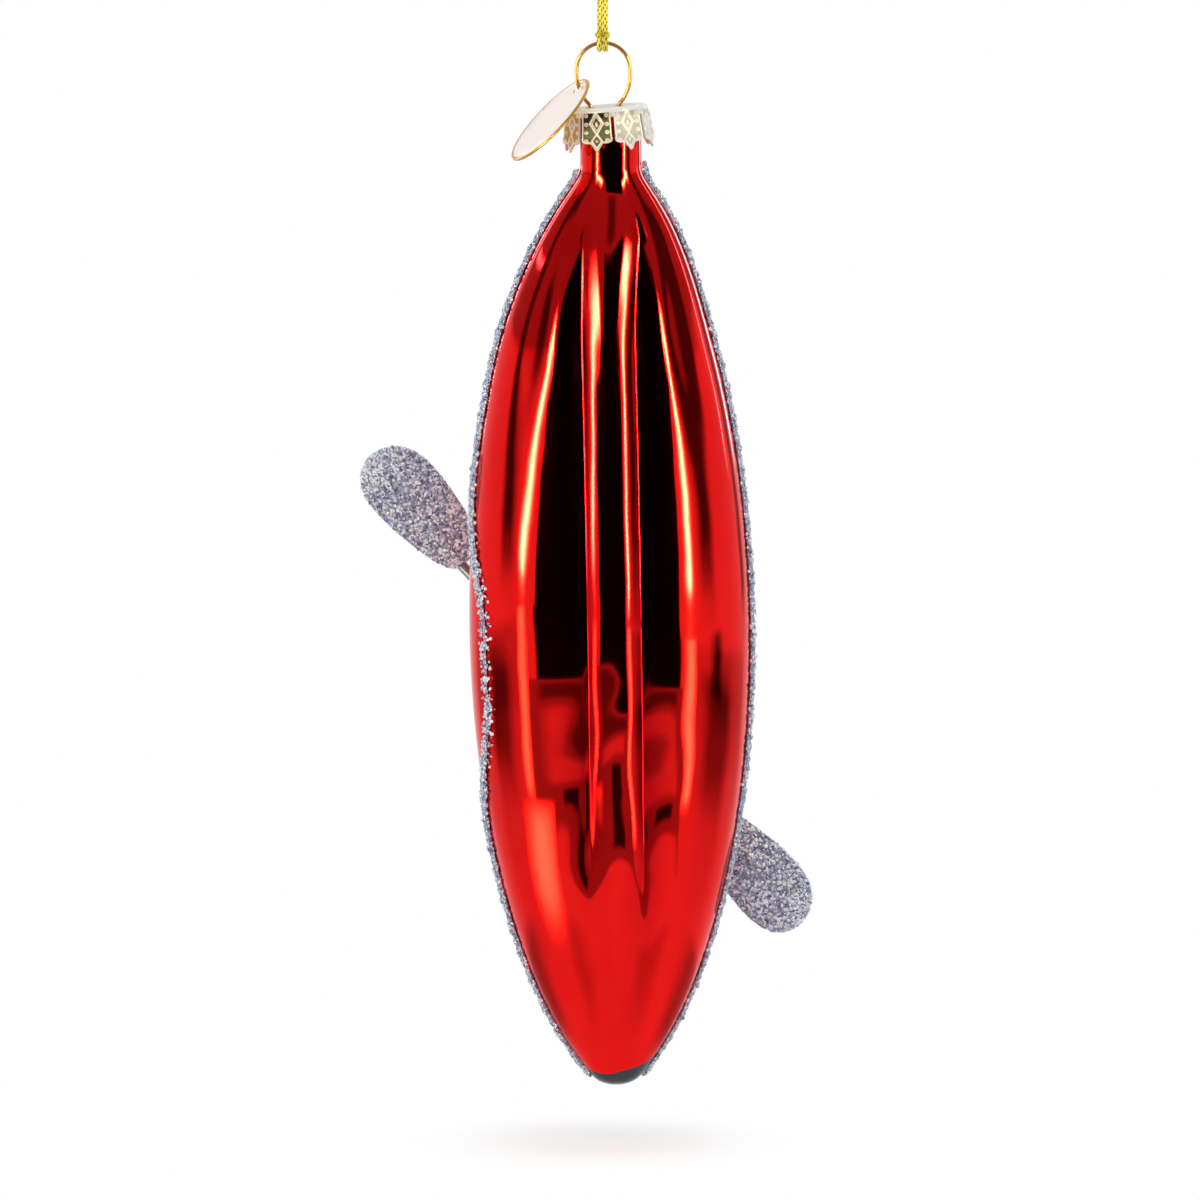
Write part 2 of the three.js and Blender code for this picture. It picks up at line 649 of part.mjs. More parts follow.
function paddleAndGlue(outer) {
  const placement = paddlePlacement();
  const geometry = geometryOf(paddleSolid());
  geometry.translate(-PADDLE_SLIDE, 0, 0);
  geometry.applyMatrix4(placement);
  const pieces = [piece('paddle', geometry, 'paddle')];
  const sleeve = new THREE.CylinderGeometry(SHAFT_RADIUS + 0.1, SHAFT_RADIUS + 0.1, 4 * GLUE_REACH, 12);
  sleeve.rotateZ(Math.PI / 2);
  sleeve.applyMatrix4(placement);
  for (const [name, along] of [['glue_dab_upper', -GLUE_REACH], ['glue_dab_lower', GLUE_REACH]]) {
    const dab = new THREE.SphereGeometry(1, 12, 8);
    dab.scale(GLUE_RADIUS * 1.3, GLUE_RADIUS * 1.2, GLUE_RADIUS * 0.9);
    dab.translate(along, 0, 0);
    dab.applyMatrix4(placement);
    dab.translate(0, -0.9, 0);
    const shaped = solidOf(dab).subtract(solidOf(sleeve)).subtract(outer);
    const solid = shaped.subtract(outer.translate([0, 0.15, 0]));
    pieces.push(piece(name, geometryOf(solid), 'glue'));
  }
  return pieces;
}

// The whole, each branch turned as it hangs

function kayak() {
  const group = new THREE.Group();
  const outer = glassOuter().add(coaming()).subtract(well(0));
  group.add(glassBody(outer));
  group.add(...paddleAndGlue(outer));
  group.add(glitterTrim('glitter_trim_left', LEFT_TRIM));
  group.add(glitterTrim('glitter_trim_right', RIGHT_TRIM));
  group.rotation.set(0, -GLASS_LEAN, GLASS_YAW, 'YZX');
  group.position.set(GLASS_SHIFT_X, 0, LOOP_TOP_TO_PLATE - RIM_BELOW_PLATE);
  return group;
}

const LOOP_TOP_TO_PLATE = -(LOOP_CENTRE_Z + LOOP_RADIUS) * Math.cos(LOOP_LEAN);

function hung() {
  const loopFoot = (LOOP_CENTRE_Z + LOOP_RADIUS) * Math.sin(LOOP_LEAN);
  const loop = wireLoop();
  loop.rotation.y = -LOOP_LEAN;
  loop.position.set(loopFoot, 0, LOOP_TOP_TO_PLATE);
  const cap = crownCap();
  cap.rotation.y = -CAP_LEAN;
  cap.position.set(loopFoot + CAP_SHIFT_X, 0, LOOP_TOP_TO_PLATE);
  const group = new THREE.Group();
  group.add(loop, cap, hangTag(), kayak());
  group.rotation.x = HANG_PITCH;
  group.position.z = RING_TOP_Z;
  return group;
}

const ornament = new THREE.Group();
ornament.add(hangingCord(), cordKnot(), hung());

export default ornament;
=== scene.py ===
import math
import random

import bpy
import numpy as np
from mathutils import Matrix, Vector


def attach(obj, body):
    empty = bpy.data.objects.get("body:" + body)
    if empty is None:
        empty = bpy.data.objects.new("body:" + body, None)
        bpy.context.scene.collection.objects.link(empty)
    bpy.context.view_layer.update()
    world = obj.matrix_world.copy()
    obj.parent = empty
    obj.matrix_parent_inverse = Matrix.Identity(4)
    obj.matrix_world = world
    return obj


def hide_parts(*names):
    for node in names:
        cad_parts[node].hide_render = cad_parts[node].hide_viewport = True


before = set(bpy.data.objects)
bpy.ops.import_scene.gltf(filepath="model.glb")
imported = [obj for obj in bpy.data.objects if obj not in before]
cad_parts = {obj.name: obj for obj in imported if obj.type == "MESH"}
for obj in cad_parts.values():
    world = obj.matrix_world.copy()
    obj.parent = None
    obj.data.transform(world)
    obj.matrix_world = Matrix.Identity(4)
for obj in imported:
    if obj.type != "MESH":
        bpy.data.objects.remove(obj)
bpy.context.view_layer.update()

bl_info = {
    "name": "Glass Kayak Ornament",
    "version": (1, 0, 0),
    "blender": (4, 5, 0),
    "location": "3D View > Sidebar > Ornament",
    "description": "Dresses a blown glass kayak ornament with its cap, loop, tag and cord",
    "category": "Add Mesh",
}

MM = 0.001

# Sizes in millimetres, as the solids have them

RING_TOP_Z = -24.0
HANG_PITCH = math.radians(0.6)
CORD_DIAMETER = 0.75
SEAT_GAP = 0.3
KNOT_HEIGHT = 2.6
TAIL_LENGTH = 3.2
WIRE_DIAMETER = 0.55
LOOP_RADIUS = 3.83
LOOP_CENTRE_Z = 5.2
LOOP_LEAN = math.radians(1.8)
LEG_HOLE_X = 2.0
LEG_HOLE_RADIUS = 0.62
CAP_RADIUS = 5.9
CAP_SHEET = 0.35
CAP_EDGE_RADIUS = 0.55
CAP_BAND = 1.1
CAP_LEAN = math.radians(4)
CAP_TURN = math.radians(6.6)
CAP_SHIFT_X = 0.3
PETALS = 8
PETAL_SLIT = 0.5
PETAL_SIDE = 5.0
PETAL_POINT = 1.1
PETAL_FLARE = 0.75
PETAL_CORNER = 0.55
PETAL_LAP = 0.25
PETAL_FLATTENING = 0.18
PETAL_HALF_WIDTH = 2.07
TAG_RADIUS = 7.8
TAG_THICKNESS = 0.4
TAG_HOLE_RADIUS = 1.05
TAG_HOLE_TO_CENTRE = 6.1
TAG_HOLE = Vector((-3.42, -0.06, -6.49))
TAG_NORMAL = Vector((-0.70, -0.20, 0.68)).normalized()
RIM_BELOW_PLATE = 1.05
GLASS_LENGTH = 140.3
NECK_LENGTH = 7.4
NECK_RADIUS = 4.4
NECK_RIM_FLARE = 0.35
NECK_SHIFT = 1.2
HALF_BEAM = 20.2
HULL_DEPTH = 13.0
DECK_HEIGHT = 9.0
UPPER_TAPER = 0.57
LOWER_TAPER = 0.62
TIP_ROUNDING = 1.6
TIP_ROUND_LENGTH = 1.1
KEEL_HALF_WIDTH = 4.2
BILGE_SHARE = 0.69
BILGE_VALLEY_DEPTH = 0.35
BILGE_VALLEY_ANGLE = 8.0
KEEL_VALLEY_REACH = 1.1
DECK_LOBE_DEPTH = 0.45
DECK_CREASE = 38.0
GLASS_LEAN = math.radians(0.9)
GLASS_SHIFT_X = -0.12
GLASS_YAW = math.radians(3.2)
COCKPIT_DEPTH = 89.0
COCKPIT_HALF_LENGTH = 15.0
COCKPIT_HALF_WIDTH = 8.5
COAMING_RADIUS = 0.9
WELL_DEPTH = 3.2
SHAFT_RADIUS = 0.78
SHAFT_SLOPE = math.radians(49.5)
SHAFT_HALF_LENGTH = 27.1
BLADE_LENGTH = 20.4
BLADE_UPPER = 6.5
BLADE_LOWER = 5.8
BLADE_THICKNESS = 1.3
BLADE_COCK = math.radians(3.2)
PADDLE_SEAT_Y = 9.95
PADDLE_PITCH = math.radians(1.8)
PADDLE_SLIDE = 5.7

# The glitter trims, in degrees from the keel: their middle, half their width, and the left one's stray

TRIM_ANGLE = 91
TRIM_HALF_ANGLE = 7
TRIM_STRAY = 27

# The stage: the floor and the first card on it in millimetres, the rest in metres

FLOOR_Z = -182.3
FLOOR_CARD_Z = -182.0
FLOOR_MIDDLE_Y = 3
MIDDLE_Z = -0.1
CARD_RADIUS = 0.75
STRIP_RADIUS = 0.72

LOOP_TOP_TO_PLATE = -(LOOP_CENTRE_Z + LOOP_RADIUS) * math.cos(LOOP_LEAN)
LOOP_FOOT = (LOOP_CENTRE_Z + LOOP_RADIUS) * math.sin(LOOP_LEAN)
HUNG = Matrix.Translation((0, 0, RING_TOP_Z)) @ Matrix.Rotation(HANG_PITCH, 4, "X")
LOOP_PLACE = (
    HUNG
    @ Matrix.Translation((LOOP_FOOT, 0, LOOP_TOP_TO_PLATE))
    @ Matrix.Rotation(-LOOP_LEAN, 4, "Y")
)
CAP_PLACE = (
    HUNG
    @ Matrix.Translation((LOOP_FOOT + CAP_SHIFT_X, 0, LOOP_TOP_TO_PLATE))
    @ Matrix.Rotation(-CAP_LEAN, 4, "Y")
)
KAYAK_PLACE = (
    HUNG
    @ Matrix.Translation((GLASS_SHIFT_X, 0, LOOP_TOP_TO_PLATE - RIM_BELOW_PLATE))
    @ Matrix.Rotation(-GLASS_LEAN, 4, "Y")
    @ Matrix.Rotation(GLASS_YAW, 4, "Z")
)
PADDLE_PLACE = (
    KAYAK_PLACE
    @ Matrix.Translation((0, PADDLE_SEAT_Y, -COCKPIT_DEPTH))
    @ Matrix.Rotation(SHAFT_SLOPE - GLASS_LEAN, 4, "Y")
    @ Matrix.Rotation(-PADDLE_PITCH, 4, "Z")
    @ Matrix.Rotation(math.pi / 2, 4, "X")
    @ Matrix.Translation((-PADDLE_SLIDE, 0, 0))
)


def tag_place():
    """The tag's own axes: across, up the slope of its face, and out of the face."""
    down = (Vector((0, 0, -1)) - TAG_NORMAL * -TAG_NORMAL.z).normalized()
    up = -down
    across = up.cross(TAG_NORMAL)
    turned = Matrix((across, up, TAG_NORMAL)).transposed().to_4x4()
    return HUNG @ Matrix.Translation(TAG_HOLE) @ turned


def linear(code):
    """The linear colour of an sRGB hex value."""
    parts = [int(code[i:i + 2], 16) / 255 for i in (1, 3, 5)]
    return tuple(c / 12.92 if c <= 0.04045 else ((c + 0.055) / 1.055) ** 2.4 for c in parts)


def colour(code):
    return (*linear(code), 1.0)


def smooth(start, end, value):
    t = min(max((value - start) / (end - start), 0.0), 1.0)
    return t * t * (3 - 2 * t)


def flow(points, count):
    """Even points along one smooth centripetal curve through the given points."""
    points = [Vector(p) for p in points]
    ends = [2 * points[0] - points[1], *points, 2 * points[-1] - points[-2]]
    fine = []
    for a, b, c, d in zip(ends, ends[1:], ends[2:], ends[3:]):
        before, across, after = (max((q - p).length ** 0.5, 1e-4) for p, q in ((a, b), (b, c), (c, d)))
        leave = across * ((b - a) / before - (c - a) / (before + across)) + (c - b)
        arrive = (c - b) + across * ((d - c) / after - (d - b) / (across + after))
        for i in range(24):
            t = i / 24
            fine.append(
                b * (2 * t**3 - 3 * t**2 + 1) + leave * (t**3 - 2 * t**2 + t)
                + c * (3 * t**2 - 2 * t**3) + arrive * (t**3 - t**2)
            )
    fine.append(points[-1])
    line = np.array(fine)
    reach = np.concatenate([[0], np.cumsum(np.linalg.norm(np.diff(line, axis=0), axis=1))])
    wanted = np.linspace(0, reach[-1], count)
    return np.stack([np.interp(wanted, reach, line[:, k]) for k in range(3)], axis=1), float(reach[-1])


def frames_along(line):
    """The two directions across a line at each of its points, carried along without twist."""
    ahead = np.gradient(line, axis=0)
    ahead /= np.linalg.norm(ahead, axis=1)[:, None]
    side = np.cross(ahead[0], (0.0, 1.0, 0.0) if abs(ahead[0][1]) < 0.9 else (1.0, 0.0, 0.0))
    sides, others = [], []
    for step in ahead:
        side = side - step * np.dot(side, step)
        side = side / np.linalg.norm(side)
        sides.append(side)
        others.append(np.cross(step, side))
    return np.array(sides), np.array(others)


def wrap_grid(name, columns, rows, place, notes=()):
    """Adds a grid, lays each of its points at place(u, v), and closes the seam and the poles.
    place gives a point in millimetres, then a number for each note, kept on the mesh by its name."""
    bpy.ops.object.select_all(action="DESELECT")
    bpy.ops.mesh.primitive_grid_add(x_subdivisions=columns, y_subdivisions=rows, size=2, location=(0, 0, 0))
    piece = bpy.context.object
    piece.name = name
    piece.data.name = name
    kept = [piece.data.attributes.new(note, "FLOAT", "POINT") for note in notes]
    for index, vertex in enumerate(piece.data.vertices):
        point, *values = place(0.5 + 0.5 * vertex.co.x, 0.5 + 0.5 * vertex.co.y)
        vertex.co = point
        for attribute, value in zip(kept, values):
            attribute.data[index].value = value
    close_seams()
    bpy.ops.object.shade_smooth()
    return piece


def close_seams():
    bpy.ops.object.mode_set(mode="EDIT")
    bpy.ops.mesh.select_all(action="SELECT")
    bpy.ops.mesh.remove_doubles(threshold=0.0005)
    bpy.ops.mesh.normals_make_consistent(inside=False)
    bpy.ops.object.mode_set(mode="OBJECT")


def take_up(piece):
    """Makes this piece the only selected one."""
    bpy.ops.object.select_all(action="DESELECT")
    piece.select_set(True)
    bpy.context.view_layer.objects.active = piece


def add_modifier(piece, kind, **settings):
    """Adds a modifier to the piece and applies it."""
    take_up(piece)
    bpy.ops.object.modifier_add(type=kind)
    modifier = piece.modifiers[-1]
    for key, value in settings.items():
        setattr(modifier, key, value)
    bpy.ops.object.modifier_apply(modifier=modifier.name)


def join_pieces(pieces, name):
    take_up(pieces[0])
    for piece in pieces[1:]:
        piece.select_set(True)
    if len(pieces) > 1:
        bpy.ops.object.join()
    pieces[0].name = name
    return pieces[0]


def drill(piece, points, radius, depth):
    """Cuts a round hole through the piece at each point, along its own z."""
    for point in points:
        bpy.ops.object.select_all(action="DESELECT")
        bpy.ops.mesh.primitive_cylinder_add(vertices=32, radius=radius, depth=depth, location=point)
        cutter = bpy.context.object
        add_modifier(piece, "BOOLEAN", operation="DIFFERENCE", object=cutter, solver="EXACT")
        bpy.data.objects.remove(cutter)


def settle(piece, place, body, materials, nodes=()):
    """Puts a piece, modelled in its own axes in millimetres, at its place and on its body."""
    piece.data.transform(Matrix.Scale(MM, 4) @ place)
    piece.data.materials.clear()
    for material in materials:
        piece.data.materials.append(material)
    if nodes:
        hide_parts(*nodes)
    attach(piece, body)


def add_node(tree, kind, values=None, links=None, stops=(), **settings):
    """Adds a node with its settings or colour stops, its inputs' values and the links that feed them."""
    made = tree.nodes.new(kind)
    for key, value in settings.items():
        setattr(made, key, value)
    for index, (position, tint) in enumerate(stops):
        elements = made.color_ramp.elements
        stop = elements[index] if index < 2 else elements.new(position)
        stop.position = position
        stop.color = tint
    for key, value in (values or {}).items():
        made.inputs[key].default_value = value
    for key, source in (links or {}).items():
        tree.links.new(source, made.inputs[key])
    return made


def new_material(name):
    """An empty material with its output node."""
    material = bpy.data.materials.new(name)
    material.use_nodes = True
    tree = material.node_tree
    tree.nodes.clear()
    return material, tree, tree.nodes.new("ShaderNodeOutputMaterial")


# Glass form. Depth runs down from the neck rim; the angle runs from the keel, 90 at a gunwale.


def fullness(depth):
    """The body's share of its full width: a long taper to the neck, one to the round tip."""
    half = (GLASS_LENGTH - NECK_LENGTH) / 2
    above, below = depth - NECK_LENGTH, GLASS_LENGTH - depth
    if above < half:
        return max(0.0, 1 - (1 - above / half) ** 2) ** UPPER_TAPER
    below *= 1 + TIP_ROUNDING * math.exp(-below / TIP_ROUND_LENGTH)
    return max(0.0, 1 - (1 - below / half) ** 2) ** LOWER_TAPER


def neck_radius(depth):
    flare = NECK_RIM_FLARE * math.exp(-((depth / 1.2) ** 2))
    return (NECK_RADIUS + flare) * (1 - smooth(14, 44, depth))


def joined(body, neck):
    return (body**4 + neck**4) ** 0.25


def valley_angles(beam):
    keel = math.degrees(math.asin(min(KEEL_HALF_WIDTH, 0.42 * beam) / beam))
    return keel, math.degrees(math.asin(BILGE_SHARE))


def keel_valley(share):
    """Fall across a keel valley: 0 on the keel's crest, 1 at share 1, 0 past the valley's reach."""
    crown = 0.34
    crest = 0.75 * (math.hypot(share, crown) - crown) / (math.hypot(1, crown) - crown) + 0.25 * share**3
    if share < 0.4:
        return crest
    shoulder = max(0.0, 1 - (share - 1) / KEEL_VALLEY_REACH) ** 2
    return 0.5 * (crest + shoulder - math.hypot(crest - shoulder, 0.1))


def lobe_fall(depth, angle, beam, valley_depth):
    """How far the surface falls below the full form: two deep valleys beside the keel, two slight."""
    turn = abs(angle)
    puckers = smooth(4, 36, depth) * min(1.0, beam / 9)
    if turn > 90:
        across = (180 - turn) / DECK_CREASE
        rise = 1 - across * across if across < 1 else min(1.0, 2.4 * (across - 1))
        return DECK_LOBE_DEPTH * puckers * (1 - smooth(40, 66, depth)) * (1 - rounded(rise))
    keel, bilge = valley_angles(beam)
    share = math.sin(math.radians(turn)) / math.sin(math.radians(keel))
    # The right valley runs on a little further down than the left one
    last = 126 if angle > 0 else 119
    deep = valley_depth * keel_valley(share) * (1 - smooth(96, last, depth))
    slight = BILGE_VALLEY_DEPTH * math.exp(-(((turn - bilge) / BILGE_VALLEY_ANGLE) ** 2))
    slight *= 1 - smooth(24, 56, depth)
    return puckers * (deep + slight)


def rounded(rise):
    """Rounds the bottom of a crease."""
    soft = 0.16
    return (math.hypot(rise, soft) - soft * 0.5) / (math.hypot(1, soft) - soft * 0.5)


def cockpit_lift(x, depth):
    """The coaming's rise and the well's fall, out of the deck."""
    share = math.hypot(x / COCKPIT_HALF_WIDTH, (depth - COCKPIT_DEPTH) / COCKPIT_HALF_LENGTH)
    slope = math.hypot(x / COCKPIT_HALF_WIDTH**2, (depth - COCKPIT_DEPTH) / COCKPIT_HALF_LENGTH**2)
    outside = (share - 1) * max(share, 1e-3) / max(slope, 1e-3)
    rim = COAMING_RADIUS * math.exp(-((outside / 0.8) ** 2))
    inside = max(0.0, -outside - 0.5)
    room = COCKPIT_HALF_WIDTH - 0.5
    bowl = WELL_DEPTH * math.sqrt(max(0.0, 1 - (1 - min(1.0, inside / room)) ** 2)) ** 1.5
    return rim - bowl


def wobble(depth, angle):
    """The slight unevenness of blown glass, in millimetres, slow along and across."""
    turn = math.radians(angle)
    low = smooth(60, 95, depth) * (1 - smooth(118, 135, depth))
    slow = 0.035 * math.sin(0.16 * depth + 2.1 * math.sin(turn * 2 + 0.4))
    return slow + 0.085 * low * math.sin(0.36 * depth + 3.0 * math.sin(2.5 * turn) + 0.8)


def glass_point(depth, angle, outward, valley_depth=1.4):
    body = fullness(depth)
    neck = neck_radius(depth)
    beam = joined(HALF_BEAM * body, neck)
    side_depth = joined((HULL_DEPTH if abs(angle) <= 90 else DECK_HEIGHT) * body, neck)
    turn = math.radians(angle)
    normal = Vector((math.sin(turn) / beam, -math.cos(turn) / side_depth)).normalized()
    move = outward - lobe_fall(depth, angle, beam, valley_depth)
    shift = NECK_SHIFT * (1 - smooth(6, 34, depth))
    x = beam * math.sin(turn)
    y = -side_depth * math.cos(turn) + move * normal.y
    return Vector((shift + x + move * normal.x, y, -depth))


def stations(first, last, count):
    """Depths crowded at the neck, along the cockpit and at the tip, where the form turns fastest."""
    depths = np.linspace(first, last, 1500)
    weights = [
        1 + 2.5 * math.exp((first - d) / 4) + 5 * math.exp((d - last) / 2)
        + 1.4 * smooth(70, 74, d) * (1 - smooth(104, 108, d)) for d in depths
    ]
    reach = np.cumsum(weights) - weights[0]
    return [float(d) for d in np.interp(np.linspace(0, reach[-1], count), reach, depths)]


# Materials


def braided_thread(sizes):
    """Metallised polyester thread, braided: bright crowns, and painted shade, near black, in the gaps between
    the yarns.
    """
    material, tree, output = new_material("braided metallised thread")
    relief_and_painted_light = add_node(tree, "ShaderNodeAttribute", attribute_name="relief_and_painted_light")
    here = {"Vector": add_node(tree, "ShaderNodeTexCoord").outputs["Object"]}
    # Fibres of 0.06 mm, drawn at 0.12 mm so that they show
    fibre = add_node(tree, "ShaderNodeTexNoise", {"Scale": 8000, "Detail": 2}, here)
    shade = add_node(
        tree, "ShaderNodeMath", {2: 0.0}, {0: relief_and_painted_light.outputs["Fac"], 1: fibre.outputs["Fac"]},
        operation="MULTIPLY_ADD",
    )
    # Painted shade: the thread's colour falls to near black where the braid's relief is low, between the yarns
    tints = [(0.17, colour("#1C1602")), (0.42, (*sizes.cord_colour, 1))]
    ramp = add_node(tree, "ShaderNodeValToRGB", None, {"Fac": shade.outputs[0]}, tints)
    bump = add_node(
        tree, "ShaderNodeBump", {"Strength": 0.4, "Distance": 0.00005}, {"Height": fibre.outputs["Fac"]}
    )
    surface = add_node(
        tree, "ShaderNodeBsdfPrincipled", {"Metallic": 0.15, "Roughness": 0.5},
        {"Base Color": ramp.outputs["Color"], "Normal": bump.outputs["Normal"]},
    )
    tree.links.new(surface.outputs[0], output.inputs["Surface"])
    return material


def drawn_wire(sizes):
    """Brass-plated steel wire, drawn: fine lengthwise die lines that streak its gloss."""
    material, tree, output = new_material("brass-plated drawn wire")
    route = add_node(tree, "ShaderNodeUVMap")
    # Die lines 0.05 mm apart round the wire
    stretch = add_node(tree, "ShaderNodeMapping", {"Scale": (34, 1.2, 1)}, {"Vector": route.outputs["UV"]})
    lines = add_node(
        tree, "ShaderNodeTexNoise", {"Scale": 1, "Detail": 3}, {"Vector": stretch.outputs["Vector"]}
    )
    tints = [(0.25, colour("#A8703A")), (0.75, (*sizes.wire_colour, 1))]
    tone = add_node(tree, "ShaderNodeValToRGB", None, {"Fac": lines.outputs["Fac"]}, tints)
    rough = add_node(
        tree, "ShaderNodeMapRange", {"To Min": 0.14, "To Max": 0.2}, {"Value": lines.outputs["Fac"]}
    )
    bump = add_node(
        tree, "ShaderNodeBump", {"Strength": 0.03, "Distance": 0.00002}, {"Height": lines.outputs["Fac"]}
    )
    surface = add_node(
        tree, "ShaderNodeBsdfPrincipled", {"Metallic": 0.6},
        {"Base Color": tone.outputs["Color"], "Roughness": rough.outputs[0], "Normal": bump.outputs["Normal"]},
    )
    tree.links.new(surface.outputs[0], output.inputs["Surface"])
    return material


def stamped_brass(sizes):
    """Sheet brass, stamped, plated and satin-lacquered: pale crowns and dark recesses, painted shade and
    painted reflection in its colour.
    """
    material, tree, output = new_material("champagne-plated stamped brass")
    relief_and_painted_light = add_node(tree, "ShaderNodeAttribute", attribute_name="relief_and_painted_light")
    here = {"Vector": add_node(tree, "ShaderNodeTexCoord").outputs["Object"]}
    # Tarnish clouds about 1.5 mm wide
    cloud = add_node(tree, "ShaderNodeTexNoise", {"Scale": 650, "Detail": 3}, here)
    shade = add_node(
        tree, "ShaderNodeMath", {1: 0.12}, {0: cloud.outputs["Fac"], 2: relief_and_painted_light.outputs["Fac"]},
        operation="MULTIPLY_ADD",
    )
    # Painted shade and painted reflection: near black in the recesses and on the darkest petal grounds, then
    # gold, grey and cream towards the raised lines
    tints = [
        (0.1, colour("#1A1A12")), (0.34, colour("#C99C34")),
        (0.52, colour("#BFBBAA")), (0.85, (*sizes.cap_colour, 1)),
    ]
    ramp = add_node(tree, "ShaderNodeValToRGB", None, {"Fac": shade.outputs[0]}, tints)
    grain = add_node(tree, "ShaderNodeTexNoise", {"Scale": 5200, "Detail": 2}, here)
    bump = add_node(
        tree, "ShaderNodeBump", {"Strength": 0.12, "Distance": 0.00003}, {"Height": grain.outputs["Fac"]}
    )
    rough = add_node(
        tree, "ShaderNodeMapRange", {"To Min": 0.26, "To Max": 0.36}, {"Value": cloud.outputs["Fac"]}
    )
    surface = add_node(
        tree, "ShaderNodeBsdfPrincipled", {"Metallic": 0.03, "Specular IOR Level": 0.1},
        {"Base Color": ramp.outputs["Color"], "Roughness": rough.outputs[0], "Normal": bump.outputs["Normal"]},
    )
    tree.links.new(surface.outputs[0], output.inputs["Surface"])
    return material


def tag_metal(name, code, tone, low, high, metallic):
    """Blanked brass, gilt: a satin face or a brighter rim, with hairlines from handling."""
    material, tree, output = new_material(name)
    here = {"Vector": add_node(tree, "ShaderNodeTexCoord").outputs["Object"]}
    # Hairlines 0.1 mm wide and about 1 mm long
    stretch = add_node(tree, "ShaderNodeMapping", {"Scale": (900, 9000, 9000)}, here)
    lines = add_node(
        tree, "ShaderNodeTexNoise", {"Scale": 1, "Detail": 3}, {"Vector": stretch.outputs["Vector"]}
    )
    rough = add_node(
        tree, "ShaderNodeMapRange", {"To Min": low, "To Max": high}, {"Value": lines.outputs["Fac"]}
    )
    tints = [(0.2, colour(code)), (0.8, (*tone, 1))]
    warm = add_node(tree, "ShaderNodeValToRGB", None, {"Fac": lines.outputs["Fac"]}, tints)
    bump = add_node(
        tree, "ShaderNodeBump", {"Strength": 0.08, "Distance": 0.00002}, {"Height": lines.outputs["Fac"]}
    )
    surface = add_node(
        tree, "ShaderNodeBsdfPrincipled", {"Metallic": metallic},
        {"Base Color": warm.outputs["Color"], "Roughness": rough.outputs[0], "Normal": bump.outputs["Normal"]},
    )
    tree.links.new(surface.outputs[0], output.inputs["Surface"])
    return material


def lacquered_glass(sizes):
    """Blown glass, silvered inside and dipped in clear red lacquer: a red mirror under a thin white gloss.
    The lacquer stops short of the tip, which stays bare silvered glass, its mirror painted dark: a painted
    reflection."""
    material, tree, output = new_material("silvered glass in red lacquer")
    past_dip = add_node(tree, "ShaderNodeAttribute", attribute_name="past_dip")
    fold = add_node(tree, "ShaderNodeAttribute", attribute_name="fold")
    here = {"Vector": add_node(tree, "ShaderNodeTexCoord").outputs["Object"]}
    # Runs in the lacquer 6 mm wide and 40 mm long
    runs = add_node(tree, "ShaderNodeMapping", {"Scale": (170, 170, 26)}, here)
    drift = add_node(
        tree, "ShaderNodeTexNoise", {"Scale": 1, "Detail": 2}, {"Vector": runs.outputs["Vector"]}
    )
    # Painted shade: the red darkens deeper in the hull's folds, and the runs vary it at random
    runs_and_fold_shade = add_node(
        tree, "ShaderNodeMath", {1: 0.6}, {0: drift.outputs["Fac"], 2: fold.outputs["Fac"]},
        operation="MULTIPLY_ADD",
    )
    tints = [(0.2, (*sizes.lacquer_colour, 1)), (1.0, colour("#BE040A"))]
    tint = add_node(tree, "ShaderNodeValToRGB", None, {"Fac": runs_and_fold_shade.outputs[0]}, tints)
    # The dip line wavers by half a millimetre
    waver = add_node(tree, "ShaderNodeTexNoise", {"Scale": 260, "Detail": 1}, here)
    line = add_node(
        tree, "ShaderNodeMath", {1: 1.0}, {0: waver.outputs["Fac"], 2: past_dip.outputs["Fac"]},
        operation="MULTIPLY_ADD",
    )
    bare = add_node(
        tree, "ShaderNodeMapRange", {"From Min": 0.45, "From Max": 0.65}, {"Value": line.outputs[0]},
        interpolation_type="SMOOTHSTEP",
    )
    # Ripple of the blown wall, about 10 mm from crest to crest
    ripple = add_node(tree, "ShaderNodeTexNoise", {"Scale": 100, "Detail": 1}, here)
    bump = add_node(
        tree, "ShaderNodeBump", {"Strength": 0.4, "Distance": 0.0003}, {"Height": ripple.outputs["Fac"]}
    )
    red = add_node(
        tree, "ShaderNodeBsdfPrincipled",
        {"Metallic": 1.0, "Roughness": 0.045, "Coat Weight": 0.08, "Coat Roughness": 0.02, "Coat IOR": 1.5},
        {"Base Color": tint.outputs["Color"], "Normal": bump.outputs["Normal"]},
    )
    # Painted reflection: the bare silvered tip gets a dark slate base colour for the darkness it mirrors
    glass = add_node(
        tree, "ShaderNodeBsdfPrincipled",
        {"Base Color": colour("#20282E"), "Metallic": 0.9, "Roughness": 0.08, "Coat Weight": 0.7},
        {"Normal": bump.outputs["Normal"]},
    )
    mixed = add_node(
        tree, "ShaderNodeMixShader", links={0: bare.outputs[0], 1: red.outputs[0], 2: glass.outputs[0]}
    )
    tree.links.new(mixed.outputs[0], output.inputs["Surface"])
    return material


def flake_glitter(name, codes):
    """Hex-cut aluminised film under clear glue, each flake of its own tone: it twinkles softly."""
    material, tree, output = new_material(name)
    tone = add_node(tree, "ShaderNodeAttribute", attribute_name="tone")
    tints = [(index / (len(codes) - 1), colour(code)) for index, code in enumerate(codes)]
    ramp = add_node(tree, "ShaderNodeValToRGB", None, {"Fac": tone.outputs["Fac"]}, tints)
    surface = add_node(
        tree, "ShaderNodeBsdfPrincipled", {"Metallic": 0.02, "Roughness": 0.4, "Specular IOR Level": 0.15},
        {"Base Color": ramp.outputs["Color"]},
    )
    tree.links.new(surface.outputs[0], output.inputs["Surface"])
    return material


